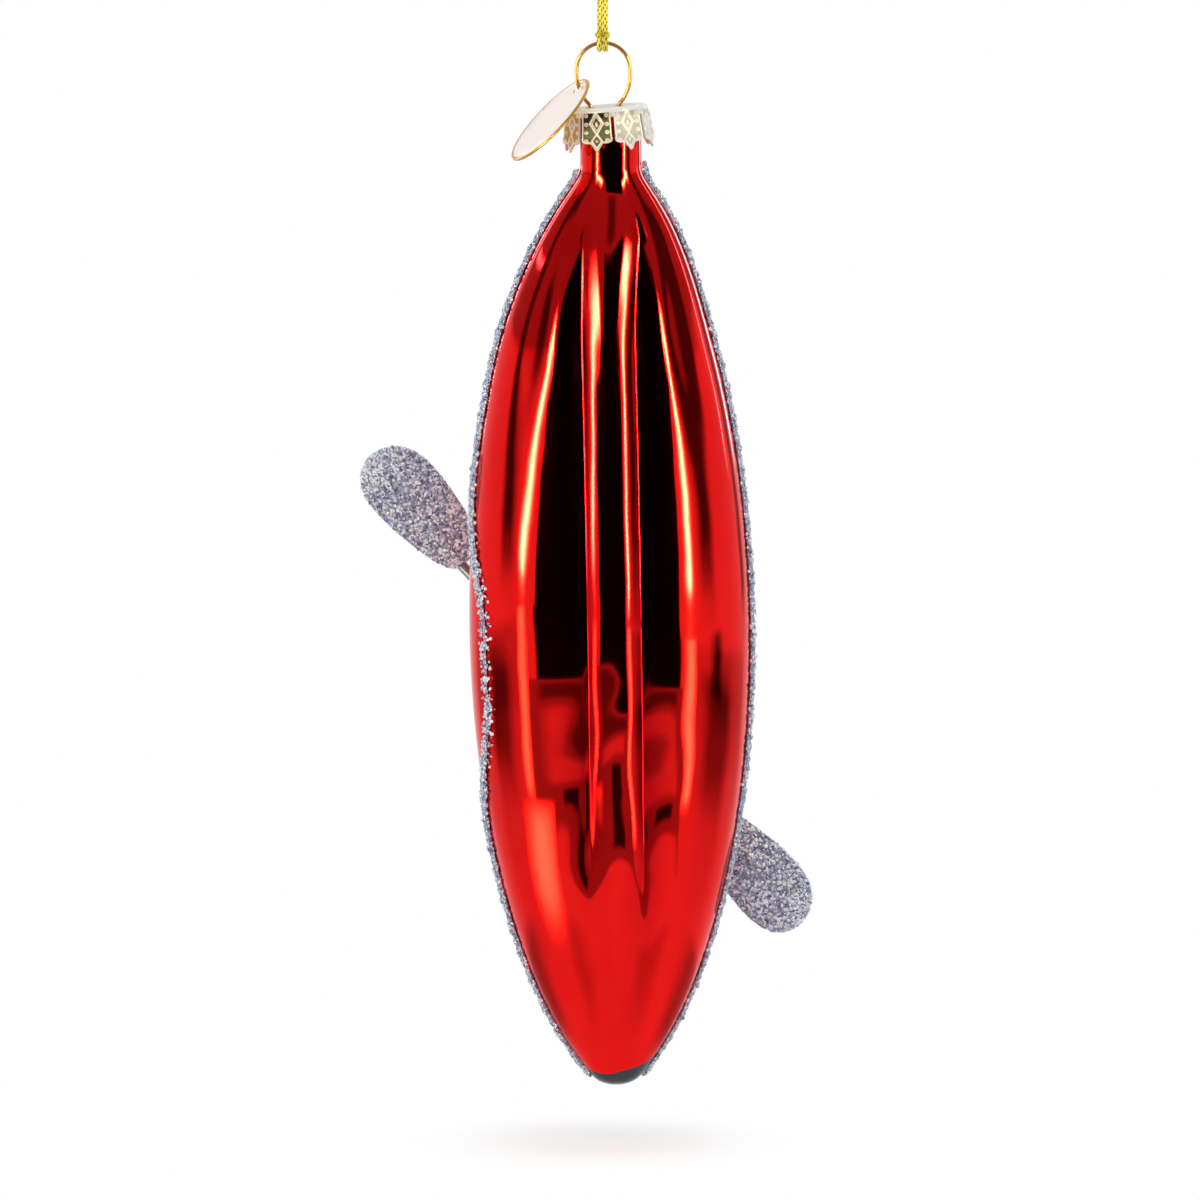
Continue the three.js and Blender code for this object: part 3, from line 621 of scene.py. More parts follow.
def glitter_bed(name, code, dark):
    """Clear glue full of fine glitter: grains of 0.3 mm, each tilted its own way."""
    material, tree, output = new_material(name)
    here = {"Vector": add_node(tree, "ShaderNodeTexCoord").outputs["Object"]}
    cells = add_node(tree, "ShaderNodeTexVoronoi", {"Scale": 3300}, here)
    split = add_node(tree, "ShaderNodeSeparateColor", links={"Color": cells.outputs["Color"]})
    tints = [(0, colour(dark)), (1, colour(code))]
    ramp = add_node(tree, "ShaderNodeValToRGB", None, {"Fac": split.outputs["Red"]}, tints)
    bump = add_node(
        tree, "ShaderNodeBump", {"Strength": 1.0, "Distance": 0.0002}, {"Height": split.outputs["Green"]}
    )
    surface = add_node(
        tree, "ShaderNodeBsdfPrincipled", {"Metallic": 0.02, "Roughness": 0.5, "Specular IOR Level": 0.15},
        {"Base Color": ramp.outputs["Color"], "Normal": bump.outputs["Normal"]},
    )
    tree.links.new(surface.outputs[0], output.inputs["Surface"])
    return material


def pearl_lacquer(sizes):
    """Turned wood under a pearl-grey lacquer: brush marks along the shaft, a wet gloss over them."""
    material, tree, output = new_material("pearl-grey lacquered wood")
    here = {"Vector": add_node(tree, "ShaderNodeTexCoord").outputs["Object"]}
    marks = add_node(tree, "ShaderNodeTexNoise", {"Scale": 700, "Detail": 3}, here)
    tints = [(0.3, colour("#56616E")), (0.7, (*sizes.shaft_colour, 1))]
    ramp = add_node(tree, "ShaderNodeValToRGB", None, {"Fac": marks.outputs["Fac"]}, tints)
    bump = add_node(
        tree, "ShaderNodeBump", {"Strength": 0.2, "Distance": 0.00005}, {"Height": marks.outputs["Fac"]}
    )
    surface = add_node(
        tree, "ShaderNodeBsdfPrincipled", {"Metallic": 0.35, "Roughness": 0.22, "Coat Weight": 0.6},
        {"Base Color": ramp.outputs["Color"], "Normal": bump.outputs["Normal"]},
    )
    tree.links.new(surface.outputs[0], output.inputs["Surface"])
    return material


def dried_glue():
    """A dab of clear craft glue, yellowed and skinned over, with small bubbles."""
    material, tree, output = new_material("dried craft glue")
    here = {"Vector": add_node(tree, "ShaderNodeTexCoord").outputs["Object"]}
    # Bubbles 0.3 mm wide
    cells = add_node(tree, "ShaderNodeTexVoronoi", {"Scale": 3000}, here)
    tints = [(0.1, colour("#D9CDB4")), (0.6, colour("#B5A68A"))]
    ramp = add_node(tree, "ShaderNodeValToRGB", None, {"Fac": cells.outputs["Distance"]}, tints)
    bump = add_node(
        tree, "ShaderNodeBump", {"Strength": 0.3, "Distance": 0.0001}, {"Height": cells.outputs["Distance"]}
    )
    surface = add_node(
        tree, "ShaderNodeBsdfPrincipled",
        {
            "Roughness": 0.2, "IOR": 1.48, "Coat Weight": 0.4,
            "Subsurface Weight": 0.3, "Subsurface Scale": 0.001,
        },
        {"Base Color": ramp.outputs["Color"], "Normal": bump.outputs["Normal"]},
    )
    tree.links.new(surface.outputs[0], output.inputs["Surface"])
    return material


# Properties


class OrnamentSizes(bpy.types.PropertyGroup):
    """Sizes and colours of the ornament that a user would change."""

    valley_depth: bpy.props.FloatProperty(
        name="Valley depth", description="Depth of the two valleys beside the hull's keel",
        default=1.4 * MM, min=0, max=1.6 * MM, subtype="DISTANCE", unit="LENGTH", precision=5,
    )
    wall: bpy.props.FloatProperty(
        name="Glass wall", description="Thickness of the blown glass",
        default=0.9 * MM, min=0.5 * MM, max=1.5 * MM, subtype="DISTANCE", unit="LENGTH", precision=5,
    )
    dip_line: bpy.props.FloatProperty(
        name="Dip line", description="Depth below the neck's rim at which the lacquer ends",
        default=135.9 * MM, subtype="DISTANCE", unit="LENGTH", precision=5,
    )
    braid_pitch: bpy.props.FloatProperty(
        name="Braid pitch", description="Length of one turn of the cord's yarns",
        default=2.0 * MM, min=0.5 * MM, subtype="DISTANCE", unit="LENGTH", precision=5,
    )
    embossing: bpy.props.FloatProperty(
        name="Embossing", description="Height of the pattern stamped into the cap's petals",
        default=0.08 * MM, min=0, max=0.3 * MM, subtype="DISTANCE", unit="LENGTH", precision=5,
    )
    flake_size: bpy.props.FloatProperty(
        name="Flake size", description="Width of one flake of glitter",
        default=0.55 * MM, min=0.1 * MM, max=1 * MM, subtype="DISTANCE", unit="LENGTH", precision=5,
    )
    trim_flakes: bpy.props.IntProperty(
        name="Trim flakes", description="Flakes on one band of glitter trim", default=5600, min=0, max=9000,
    )
    blade_flakes: bpy.props.IntProperty(
        name="Blade flakes", description="Flakes on one paddle blade", default=4200, min=0, max=9000,
    )
    lacquer_colour: bpy.props.FloatVectorProperty(
        name="Lacquer", description="Colour of the clear red lacquer", default=(0.8, 0.0068, 0.0058),
        min=0, max=1, subtype="COLOR",
    )
    cord_colour: bpy.props.FloatVectorProperty(
        name="Cord", description="Colour of the metallised thread", default=linear("#EBD614"),
        min=0, max=1, subtype="COLOR",
    )
    wire_colour: bpy.props.FloatVectorProperty(
        name="Wire", description="Colour of the loop's plating", default=linear("#C8944A"),
        min=0, max=1, subtype="COLOR",
    )
    cap_colour: bpy.props.FloatVectorProperty(
        name="Cap", description="Colour of the cap's plating", default=linear("#F7F3EA"),
        min=0, max=1, subtype="COLOR",
    )
    tag_colour: bpy.props.FloatVectorProperty(
        name="Tag", description="Colour of the tag's face", default=linear("#FFF6F2"),
        min=0, max=1, subtype="COLOR",
    )
    shaft_colour: bpy.props.FloatVectorProperty(
        name="Shaft", description="Colour of the paddle's shaft", default=linear("#8C98A6"),
        min=0, max=1, subtype="COLOR",
    )


# Pieces


def hitch_half(side):
    """One strand, from the knot down to the hitch round the wire loop, in millimetres."""
    wrap = 0.5 * WIRE_DIAMETER + 0.5 * CORD_DIAMETER + SEAT_GAP
    slant = wrap * math.sqrt(0.5)
    strand = side * 0.38
    top = RING_TOP_Z
    return [
        (side * 0.75, 0, 0.55), (side * 1.75, 0, -0.5), (side * 1.95, 0, -2.2), (side * 1.2, 0, -5.2),
        (strand, 0, -9), (strand, 0.05, top + 8), (strand, 0.25, top + 3), (strand, 0.55, top + 1.4),
        (side * 0.39, wrap, top), (side * 0.4, slant, top - slant), (side * 0.41, 0, top - wrap),
        (side * 0.42, -slant, top - slant), (side * 0.45, -wrap, top), (side * 0.5, -slant, top + slant),
        (side * 0.6, 0, top + wrap + 0.05), (side * 0.75, 0.8, top + 1.15), (side * 0.55, 1.45, top + 1.2),
    ]


def braided_tube(name, points, pitch, sides=24):
    """A round braid of four yarns each way laid along the points, in millimetres."""
    _, length = flow(points, 10)
    rows = max(40, int(length / 0.09))
    line, length = flow(points, rows + 1)
    sides_at, others_at = frames_along(line)

    def place(u, v):
        row = min(rows, int(round(v * rows)))
        turn = 2 * math.pi * u
        along = v * length / pitch
        right = abs(math.sin(math.pi * (4 * u + 2 * along)))
        left = abs(math.sin(math.pi * (4 * u - 2 * along)))
        # The braid's relief, which sets its radius and also the painted shade between the yarns
        relief_and_painted_light = max(right, left) ** 1.5
        closing = min(1.0, math.sqrt(max(0.0, min(v, 1 - v) * length / 0.25)))
        radius = 0.5 * CORD_DIAMETER * (0.8 + 0.2 * relief_and_painted_light) * closing
        point = line[row] + radius * (math.cos(turn) * sides_at[row] + math.sin(turn) * others_at[row])
        return Vector(point), relief_and_painted_light

    return wrap_grid(name, sides, rows, place, ["relief_and_painted_light"]), line, length


class ORNAMENT_OT_camera(bpy.types.Operator):
    """Adds the camera that looks at the keel side from slightly above"""

    bl_idname = "ornament.camera"
    bl_label = "Camera"

    def execute(self, context):
        # A long lens from 1.44 m: the photographed frame is 172.2 mm wide at the ornament
        target = Vector((-0.36 * MM, 0, -103.9 * MM))
        rise = math.radians(5.5)
        distance = 1.435
        bpy.ops.object.camera_add(location=target + distance * Vector((0, -math.cos(rise), math.sin(rise))))
        camera = context.object
        camera.rotation_euler = (target - camera.location).to_track_quat("-Z", "Y").to_euler()
        camera.data.lens = 300
        camera.data.clip_end = 20
        context.scene.camera = camera
        return {"FINISHED"}


class ORNAMENT_OT_cord(bpy.types.Operator):
    """Braids the hanging cord: one length hitched round the loop, its ends tied in an overhand knot"""

    bl_idname = "ornament.cord"
    bl_label = "Hanging cord"

    def execute(self, context):
        sizes = context.scene.ornament_sizes
        material = braided_thread(sizes)
        pitch = sizes.braid_pitch / MM
        points = hitch_half(-1) + [(0, 1.6, RING_TOP_Z + 1.2)] + hitch_half(1)[::-1]
        cord, line, length = braided_tube("hanging_cord_braid", points, pitch)
        settle(cord, Matrix.Identity(4), "cord", [material], ["hanging_cord"])
        knot = self.knot(pitch)
        settle(knot, Matrix.Identity(4), "cord", [material], ["cord_knot"])
        return {"FINISHED"}

    def knot(self, pitch):
        """Two strands side by side through one overhand knot, and out above it as short tails."""
        base = 0.4 + SEAT_GAP
        middle = base + 0.5 * KNOT_HEIGHT
        strands = []
        for index, aside in enumerate((-0.26, 0.26)):
            route = []
            for i in range(15):
                t = 2 * math.pi * (i + 0.5) / 15 - math.pi / 2
                reach = 0.62 + 0.3 * math.cos(3 * t) + 0.5 * aside
                height = middle + aside + 0.62 * math.sin(3 * t)
                route.append((reach * math.cos(2 * t), reach * math.sin(2 * t), height))
            side = -1 if index == 0 else 1
            start = [(side * 0.55, 0, base - 0.1)]
            end = [
                (side * 0.4, 0.1, middle + 0.9), (side * 0.55, 0, base + KNOT_HEIGHT + 0.3),
                (side * 0.75, 0, base + KNOT_HEIGHT + 1.6), (side * 1.0, 0, base + KNOT_HEIGHT + TAIL_LENGTH),
            ]
            strands.append(braided_tube("strand", start + route + end, pitch, 16)[0])
        return join_pieces(strands, "overhand_knot")


class ORNAMENT_OT_wire_loop(bpy.types.Operator):
    """Bends the wire loop: a round bow drawn in to the cap's two holes, and two springy legs"""

    bl_idname = "ornament.wire_loop"
    bl_label = "Wire loop"

    def execute(self, context):
        sizes = context.scene.ornament_sizes
        right = [(LOOP_RADIUS, LOOP_CENTRE_Z - 0.7), (3.7, 3.35), (3.34, 2.15), (2.74, 1.0), (LEG_HOLE_X, 0)]
        right_leg = [(2.08, -0.75), (2.6, -2.1), (3.1, -4), (3.25, -6.5), (3.05, -10), (2.75, -14)]
        left_leg = [(-1.95, -0.75), (-2.0, -2.2), (-2.15, -4), (-2.1, -6.5), (-1.9, -10), (-1.7, -14)]
        bow = []
        for i in range(13):
            turn = math.pi * i / 12
            bow.append((-LOOP_RADIUS * math.cos(turn), LOOP_CENTRE_Z + LOOP_RADIUS * math.sin(turn)))
        left = [(-x, z) for x, z in right][::-1]
        points = [(x, 0, z) for x, z in [*left_leg[::-1], *left, *bow, *right, *right_leg]]
        rows = 300
        line, length = flow(points, rows + 1)
        sides_at, others_at = frames_along(line)

        def place(u, v):
            row = min(rows, int(round(v * rows)))
            turn = 2 * math.pi * u
            closing = min(1.0, math.sqrt(max(0.0, min(v, 1 - v) * length / 0.2)))
            radius = 0.5 * WIRE_DIAMETER * closing
            outward = math.cos(turn) * sides_at[row] + math.sin(turn) * others_at[row]
            return (Vector(line[row] + radius * outward),)

        wire = wrap_grid("wire_loop_bent", 20, rows, place)
        settle(wire, LOOP_PLACE, "hanger", [drawn_wire(sizes)], ["wire_loop"])
        return {"FINISHED"}


def petal_length(across):
    ogee = smooth(0, 1, 1 - abs(across) / 0.5)
    return PETAL_SIDE - PETAL_CORNER * abs(across) ** 10 + PETAL_POINT * ogee**1.3


def ridge(distance, width):
    return math.exp(-((distance / width) ** 2))


def diamond(x, y, half_width, half_height):
    """Signed distance, about, from a diamond's outline."""
    scale = half_width * half_height / math.hypot(half_width, half_height)
    return (abs(x) / half_width + abs(y) / half_height - 1) * scale


def petal_pattern(x, drop, edge):
    """The stamped pattern, 0 to 1: a tall diamond with a drop, one with a dot, ringed dots, a border."""
    tall = diamond(x, drop - 2.1, 1.0, 1.55)
    small = diamond(x, drop - 4.58, 0.72, 1.0)
    rise = max(
        ridge(tall, 0.12), ridge(small, 0.11), ridge(edge - 0.22, 0.13), 0.9 * ridge(abs(x) - 2.0, 0.1),
        0.8 * ridge(max(0.0, math.hypot(x / 0.2, (drop - 2.25) / 0.36) - 0.6), 0.4),
        ridge(math.hypot(x, drop - 4.6), 0.16),
    )
    if tall < 0:
        rise = max(rise, 0.8 * ridge(tall + 0.26, 0.08))
    for middle in (0.95, 2.2, 3.35, 4.5):
        away = math.hypot(abs(x) - 1.5, drop - middle)
        rise = max(rise, ridge(away, 0.09), 0.9 * ridge(away - 0.22, 0.07))
    return rise


class ORNAMENT_OT_crown_cap(bpy.types.Operator):
    """Stamps the crown cap: a shallow cup with a rolled edge, and eight embossed petals"""

    bl_idname = "ornament.crown_cap"
    bl_label = "Crown cap"

    def execute(self, context):
        sizes = context.scene.ornament_sizes
        height = sizes.embossing / MM
        per_petal = 42
        columns = PETALS * (per_petal + 1)
        plate_rows, edge_rows, petal_rows = 14, 8, 62
        rows = plate_rows + edge_rows + petal_rows
        slit = PETAL_SLIT / CAP_RADIUS
        sector = 2 * math.pi / PETALS
        # Painted reflection, one ground tone per petal: darkest on the front petal, then on the left one
        petal_painted_reflection = (0.47, 0.55, 0.5, 0.4, 0.45, 0.5, 0.27, 0.0)

        def place(u, v):
            column = round(u * columns)
            number, step = divmod(column, per_petal + 1)
            share = step / per_petal
            across = 2 * min(share, 1.0) - 1
            turn = CAP_TURN + number * sector + 0.5 * slit + (sector - slit) * min(share, 1.0)
            row = round(v * rows)
            if row <= plate_rows:
                radius = (CAP_RADIUS - CAP_EDGE_RADIUS) * row / plate_rows
                # Painted light: the plate a little grey, its raised ring paler, the rolled edge pale
                relief_and_painted_light = 0.6 + 0.3 * ridge(radius - 4.7, 0.25)
                drop = 0.05 * (1 - ridge(radius - 4.7, 0.3))
            elif row <= plate_rows + edge_rows:
                roll = 0.5 * math.pi * (row - plate_rows) / edge_rows
                radius = CAP_RADIUS - CAP_EDGE_RADIUS + CAP_EDGE_RADIUS * math.sin(roll)
                drop, relief_and_painted_light = CAP_EDGE_RADIUS * (1 - math.cos(roll)), 0.9
            else:
                t = (row - plate_rows - edge_rows) / petal_rows
                drop = CAP_EDGE_RADIUS + (petal_length(across) - CAP_EDGE_RADIUS) * t
                start = CAP_BAND - PETAL_LAP
                flat = (CAP_RADIUS - PETAL_FLATTENING) / math.cos(across * 0.5 * (sector - slit))
                bend = smooth(start, start + 0.1 * PETAL_SIDE, drop)
                radius = CAP_RADIUS + (flat - CAP_RADIUS) * bend
                radius += PETAL_FLARE * (max(0.0, drop - start) / PETAL_SIDE) ** 1.6
                relief_and_painted_light = petal_pattern(across * PETAL_HALF_WIDTH, drop, petal_length(across) - drop)
                radius += height * relief_and_painted_light * smooth(CAP_BAND - 0.1, CAP_BAND + 0.2, drop)
                # Painted reflection and painted shade: the petal's own ground tone, darker where its pattern
                # is low
                relief_and_painted_light = petal_painted_reflection[number % PETALS] + (1 - petal_painted_reflection[number % PETALS]) * relief_and_painted_light
            return Vector((radius * math.sin(turn), -radius * math.cos(turn), -drop)), relief_and_painted_light

        cap = wrap_grid("crown_cap_stamped", columns, rows, place, ["relief_and_painted_light"])
        self.open_slits(cap, slit, sector)
        add_modifier(cap, "SOLIDIFY", thickness=CAP_SHEET * 0.8, offset=-1)
        take_up(cap)
        drill(cap, [(side * LEG_HOLE_X - CAP_SHIFT_X, 0, 0) for side in (-1, 1)], LEG_HOLE_RADIUS, 2)
        take_up(cap)
        bpy.ops.object.shade_smooth_by_angle(angle=math.radians(50))
        settle(cap, CAP_PLACE, "hanger", [stamped_brass(sizes)], ["crown_cap"])
        return {"FINISHED"}

    def open_slits(self, cap, slit, sector):
        """Deletes the faces between the petals, below the band."""
        bpy.ops.object.mode_set(mode="EDIT")
        bpy.ops.mesh.select_mode(type="FACE")
        bpy.ops.object.mode_set(mode="OBJECT")
        for polygon in cap.data.polygons:
            centre = polygon.center
            turn = (math.atan2(centre.x, -centre.y) - CAP_TURN + 0.5 * slit) % sector
            polygon.select = turn < slit and centre.z < -CAP_BAND
        bpy.ops.object.mode_set(mode="EDIT")
        bpy.ops.mesh.delete(type="FACE")
        bpy.ops.object.mode_set(mode="OBJECT")


class ORNAMENT_OT_hang_tag(bpy.types.Operator):
    """Blanks the round tag with its raised rim and threads it on the loop"""

    bl_idname = "ornament.hang_tag"
    bl_label = "Hang tag"

    def execute(self, context):
        sizes = context.scene.ornament_sizes
        half = 0.5 * TAG_THICKNESS
        face = half * 0.62
        profile = [
            (0, face), (3.2, face), (6.8, face), (6.9, face - 0.03), (7.0, face), (7.25, face),
            (7.38, half * 0.97), (7.5, half), (7.62, half * 0.97), (7.74, half * 0.7), (TAG_RADIUS, 0),
        ]
        profile = profile + [(r, -z) for r, z in profile[-2::-1]]
        fine = []
        for (r0, z0), (r1, z1) in zip(profile, profile[1:]):
            fine += [(r0 + (r1 - r0) * k / 3, z0 + (z1 - z0) * k / 3) for k in range(3)]
        fine.append(profile[-1])
        rows = len(fine) - 1

        def place(u, v):
            radius, z = fine[round(v * rows)]
            turn = 2 * math.pi * u
            return (Vector((radius * math.cos(turn), -TAG_HOLE_TO_CENTRE + radius * math.sin(turn), z)),)

        tag = wrap_grid("hang_tag_blank", 120, rows, place)
        drill(tag, [(0, 0, 0)], TAG_HOLE_RADIUS, 3)
        take_up(tag)
        bpy.ops.object.shade_smooth_by_angle(angle=math.radians(35))
        face_metal = tag_metal("lapped gilt brass", "#F8E8E0", sizes.tag_colour, 0.2, 0.3, 0.3)
        rim_metal = tag_metal("gilt brass rim", "#A8782C", linear("#D2A048"), 0.25, 0.35, 0.6)
        settle(tag, tag_place(), "tag", [face_metal, rim_metal], ["hang_tag"])
        centre = Matrix.Scale(MM, 4) @ tag_place() @ Vector((0, -TAG_HOLE_TO_CENTRE, 0))
        for polygon in tag.data.polygons:
            polygon.material_index = 1 if (polygon.center - centre).length > 7.3 * MM else 0
        return {"FINISHED"}


class ORNAMENT_OT_glass_body(bpy.types.Operator):
    """Blows the kayak: lobed hull, creased deck, cockpit, open neck"""

    bl_idname = "ornament.glass_body"
    bl_label = "Glass body"

    def execute(self, context):
        sizes = context.scene.ornament_sizes
        valley_depth = sizes.valley_depth / MM
        columns, rows = 184, 240
        half = columns // 2
        hull, side = 56, 68
        depths = [0, 0.4, 0.8, 1.4, 2, 3, 4.2, 5.3, *stations(6.4, GLASS_LENGTH, rows - 7)]

        def angle_of(column, depth):
            sign = 1 if column >= half else -1
            step = abs(column - half)
            beam = joined(HALF_BEAM * fullness(depth), neck_radius(depth))
            keel, bilge = valley_angles(beam)
            if step <= 14:
                return sign * keel * step / 14
            if step <= 36:
                return sign * (keel + (bilge - keel) * (step - 14) / 22)
            if step <= hull:
                return sign * (bilge + (90 - bilge) * (step - 36) / (hull - 36))
            if step <= side:
                return sign * (90 + 56 * (step - hull) / (side - hull))
            return sign * (146 + 34 * (step - side) / (half - side))

        def place(u, v):
            column, row = round(u * columns), round(v * rows)
            depth = depths[row]
            angle = angle_of(column, min(depth, GLASS_LENGTH - 0.02))
            depth = min(depth, GLASS_LENGTH - 0.0001)
            point = glass_point(depth, angle, 0, valley_depth)
            beam = joined(HALF_BEAM * fullness(depth), neck_radius(depth))
            # How deep the point lies in a fold, which sets the painted shade in the folds
            fold = lobe_fall(depth, angle, beam, 1.0)
            if abs(angle) > 95:
                point.y += cockpit_lift(point.x, depth)
            else:
                facing = math.cos(math.radians(min(abs(angle), 90)))
                point.y -= wobble(depth, angle) * smooth(10, 30, depth) * facing
            # The dip line slopes: lowest in front, and lower on the left than on the right
            past_dip = depth + 0.2 * point.x + 0.78 * point.y - sizes.dip_line / MM
            return point, past_dip, fold

        glass = wrap_grid("glass_body_blown", columns, rows, place, ["past_dip", "fold"])
        add_modifier(glass, "SOLIDIFY", thickness=sizes.wall / MM, offset=-1)
        take_up(glass)
        bpy.ops.object.shade_smooth_by_angle(angle=math.radians(60))
        settle(glass, KAYAK_PLACE, "kayak", [lacquered_glass(sizes)], ["glass_body"])
        return {"FINISHED"}


def strew(name, spots, size, seed):
    """Lays one flake at each spot (point and normal, in millimetres), each turned and toned its own way."""
    bpy.ops.object.select_all(action="DESELECT")
    bpy.ops.mesh.primitive_uv_sphere_add(segments=6, ring_count=2, radius=0.5)
    piece = bpy.context.object
    shape = np.array([v.co[:] for v in piece.data.vertices])
    faces = [tuple(p.vertices) for p in piece.data.polygons]
    chance = random.Random(seed)
    points, polygons, tones = [], [], []
    for index, (spot, normal) in enumerate(spots):
        width = size * chance.uniform(0.6, 1.25)
        lean = Vector([chance.gauss(0, 0.42) for _ in range(3)])
        axis = (normal + lean).normalized()
        turned = axis.to_track_quat("Z", "Y").to_matrix() @ Matrix.Rotation(chance.uniform(0, 1.05), 3, "Z")
        scaled = shape * (width, width * chance.uniform(0.75, 1), width * 0.28)
        points.append(scaled @ np.array(turned).T + np.array(spot))
        polygons += [tuple(k + index * len(shape) for k in face) for face in faces]
        tones += [chance.random()] * len(shape)
    mesh = bpy.data.meshes.new(name)
    mesh.from_pydata(np.concatenate(points).tolist(), [], polygons)
    mesh.attributes.new("tone", "FLOAT", "POINT").data.foreach_set("value", tones)
    piece.data = mesh
    piece.name = name
    return piece


def trim_stray(side, depth):
    """How far a band of trim has strayed down onto the hull, in degrees."""
    if side < 0:
        return TRIM_STRAY * smooth(50, 74, depth) * (1 - smooth(84, 106, depth))
    return 2 * smooth(46, 66, depth) * (1 - smooth(92, 108, depth))


def trim_point(side, depth, offset, height):
    """A point on a band of trim, offset across it from -1 to 1."""
    stray = trim_stray(side, depth)
    angle = TRIM_ANGLE - stray + (TRIM_HALF_ANGLE - 0.08 * stray) * offset
    return glass_point(depth, side * angle, height)


def trim_normal(depth, angle):
    """The glass surface's outward normal at a depth and angle."""
    here = glass_point(depth, angle, 0)
    down = glass_point(depth + 0.3, angle, 0) - glass_point(depth - 0.3, angle, 0)
    round_it = glass_point(depth, angle + 1, 0) - glass_point(depth, angle - 1, 0)
    normal = down.cross(round_it).normalized()
    outward = Vector((here.x, here.y, 0))
    return normal if normal.dot(outward) > 0 else -normal


class ORNAMENT_OT_glitter_trims(bpy.types.Operator):
    """Strews glitter in glue along both gunwales"""

    bl_idname = "ornament.glitter_trims"
    bl_label = "Glitter trims"

    def execute(self, context):
        sizes = context.scene.ornament_sizes
        flakes = flake_glitter("aluminised flake glitter", ["#7888AC", "#C2D0EA", "#F4F8FF", "#FFFFFF"])
        bed = glitter_bed("fine glitter in clear glue", "#CCDAF2", "#586788")
        last = GLASS_LENGTH - 1.3
        for name, side, first in (("left", -1, 8), ("right", 1, 7)):
            crust = self.crust(side, first, last)
            settle(crust, KAYAK_PLACE, "kayak", [bed], [f"glitter_trim_{name}"])
            crust.name = f"glitter_bed_{name}"
            chance = random.Random(31 + side)
            spots = []
            while len(spots) < sizes.trim_flakes:
                depth = chance.uniform(first, last)
                offset = max(-1.15, min(1.15, chance.gauss(0, 0.5)))
                angle = side * (TRIM_ANGLE - trim_stray(side, depth) + TRIM_HALF_ANGLE * offset)
                height = 0.15 + (0.12 + 0.5 * max(0.0, 1 - offset * offset)) * chance.uniform(0.55, 1)
                loose = trim_stray(side, depth) / TRIM_STRAY
                if chance.random() < 0.8 * loose:
                    continue
                uneven = 1 + 0.25 * math.sin(2.9 * depth) * math.sin(1.3 * depth + side)
                height *= (1 - 0.5 * loose) * uneven
                spots.append((trim_point(side, depth, offset, height), trim_normal(depth, angle)))
            strewn = strew(f"glitter_flakes_{name}", spots, sizes.flake_size / MM, 7 + side)
            settle(strewn, KAYAK_PLACE, "kayak", [flakes])
        return {"FINISHED"}

    def crust(self, side, first, last):
        def place(u, v):
            depth = first + (last - first) * v
            turn = 2 * math.pi * u
            across = math.cos(turn)
            top = 0.15 + 0.1 + 0.42 * max(0.0, 1 - across * across) ** 0.8
            uneven = 0.1 * math.sin(3.7 * depth + 5 * across) + 0.06 * math.sin(13.1 * depth)
            height = 0.1 if turn > math.pi else top + uneven
            taper = min(1.0, (min(v, 1 - v) * (last - first)) / 2)
            loose = trim_stray(side, depth) / TRIM_STRAY
            width = 0.9 * taper * (1 - 0.85 * loose)
            return (trim_point(side, depth, across * width, 0.1 + (height - 0.1) * (1 - 0.6 * loose)),)

        return wrap_grid("crust", 20, 420, place)


def blade_edge(width, throat, t):
    return width * t**throat * math.sqrt(max(0.0, 1 - t**6))


def blade_outline(t):
    """The blade's reach above and below the shaft's line at a share of its length."""
    return blade_edge(BLADE_UPPER, 0.15, max(t, 1e-4)), -blade_edge(BLADE_LOWER, 0.4, max(t, 1e-4))


def blade_point(t, turn, proud=0.0):
    upper, lower = blade_outline(t)
    middle, half = 0.5 * (upper + lower), 0.5 * (upper - lower)
    across, rise = math.cos(turn), math.sin(turn)
    y = middle + half * math.copysign(abs(across) ** 0.8, across)
    swell = 0.5 * BLADE_THICKNESS * abs(rise) ** 0.45 * min(1.0, math.sqrt(max(0.0, 1 - t**8)) + 0.02)
    fall = math.exp(-((y / 0.85) ** 2))
    spine = SHAFT_RADIUS * 1.35 * math.sqrt(max(0.0, 1 - (t * BLADE_LENGTH / 12) ** 2)) * fall
    z = math.copysign(max(swell, spine * abs(rise)) + proud * abs(rise), rise)
    return Vector((BLADE_LENGTH * t, y, z))


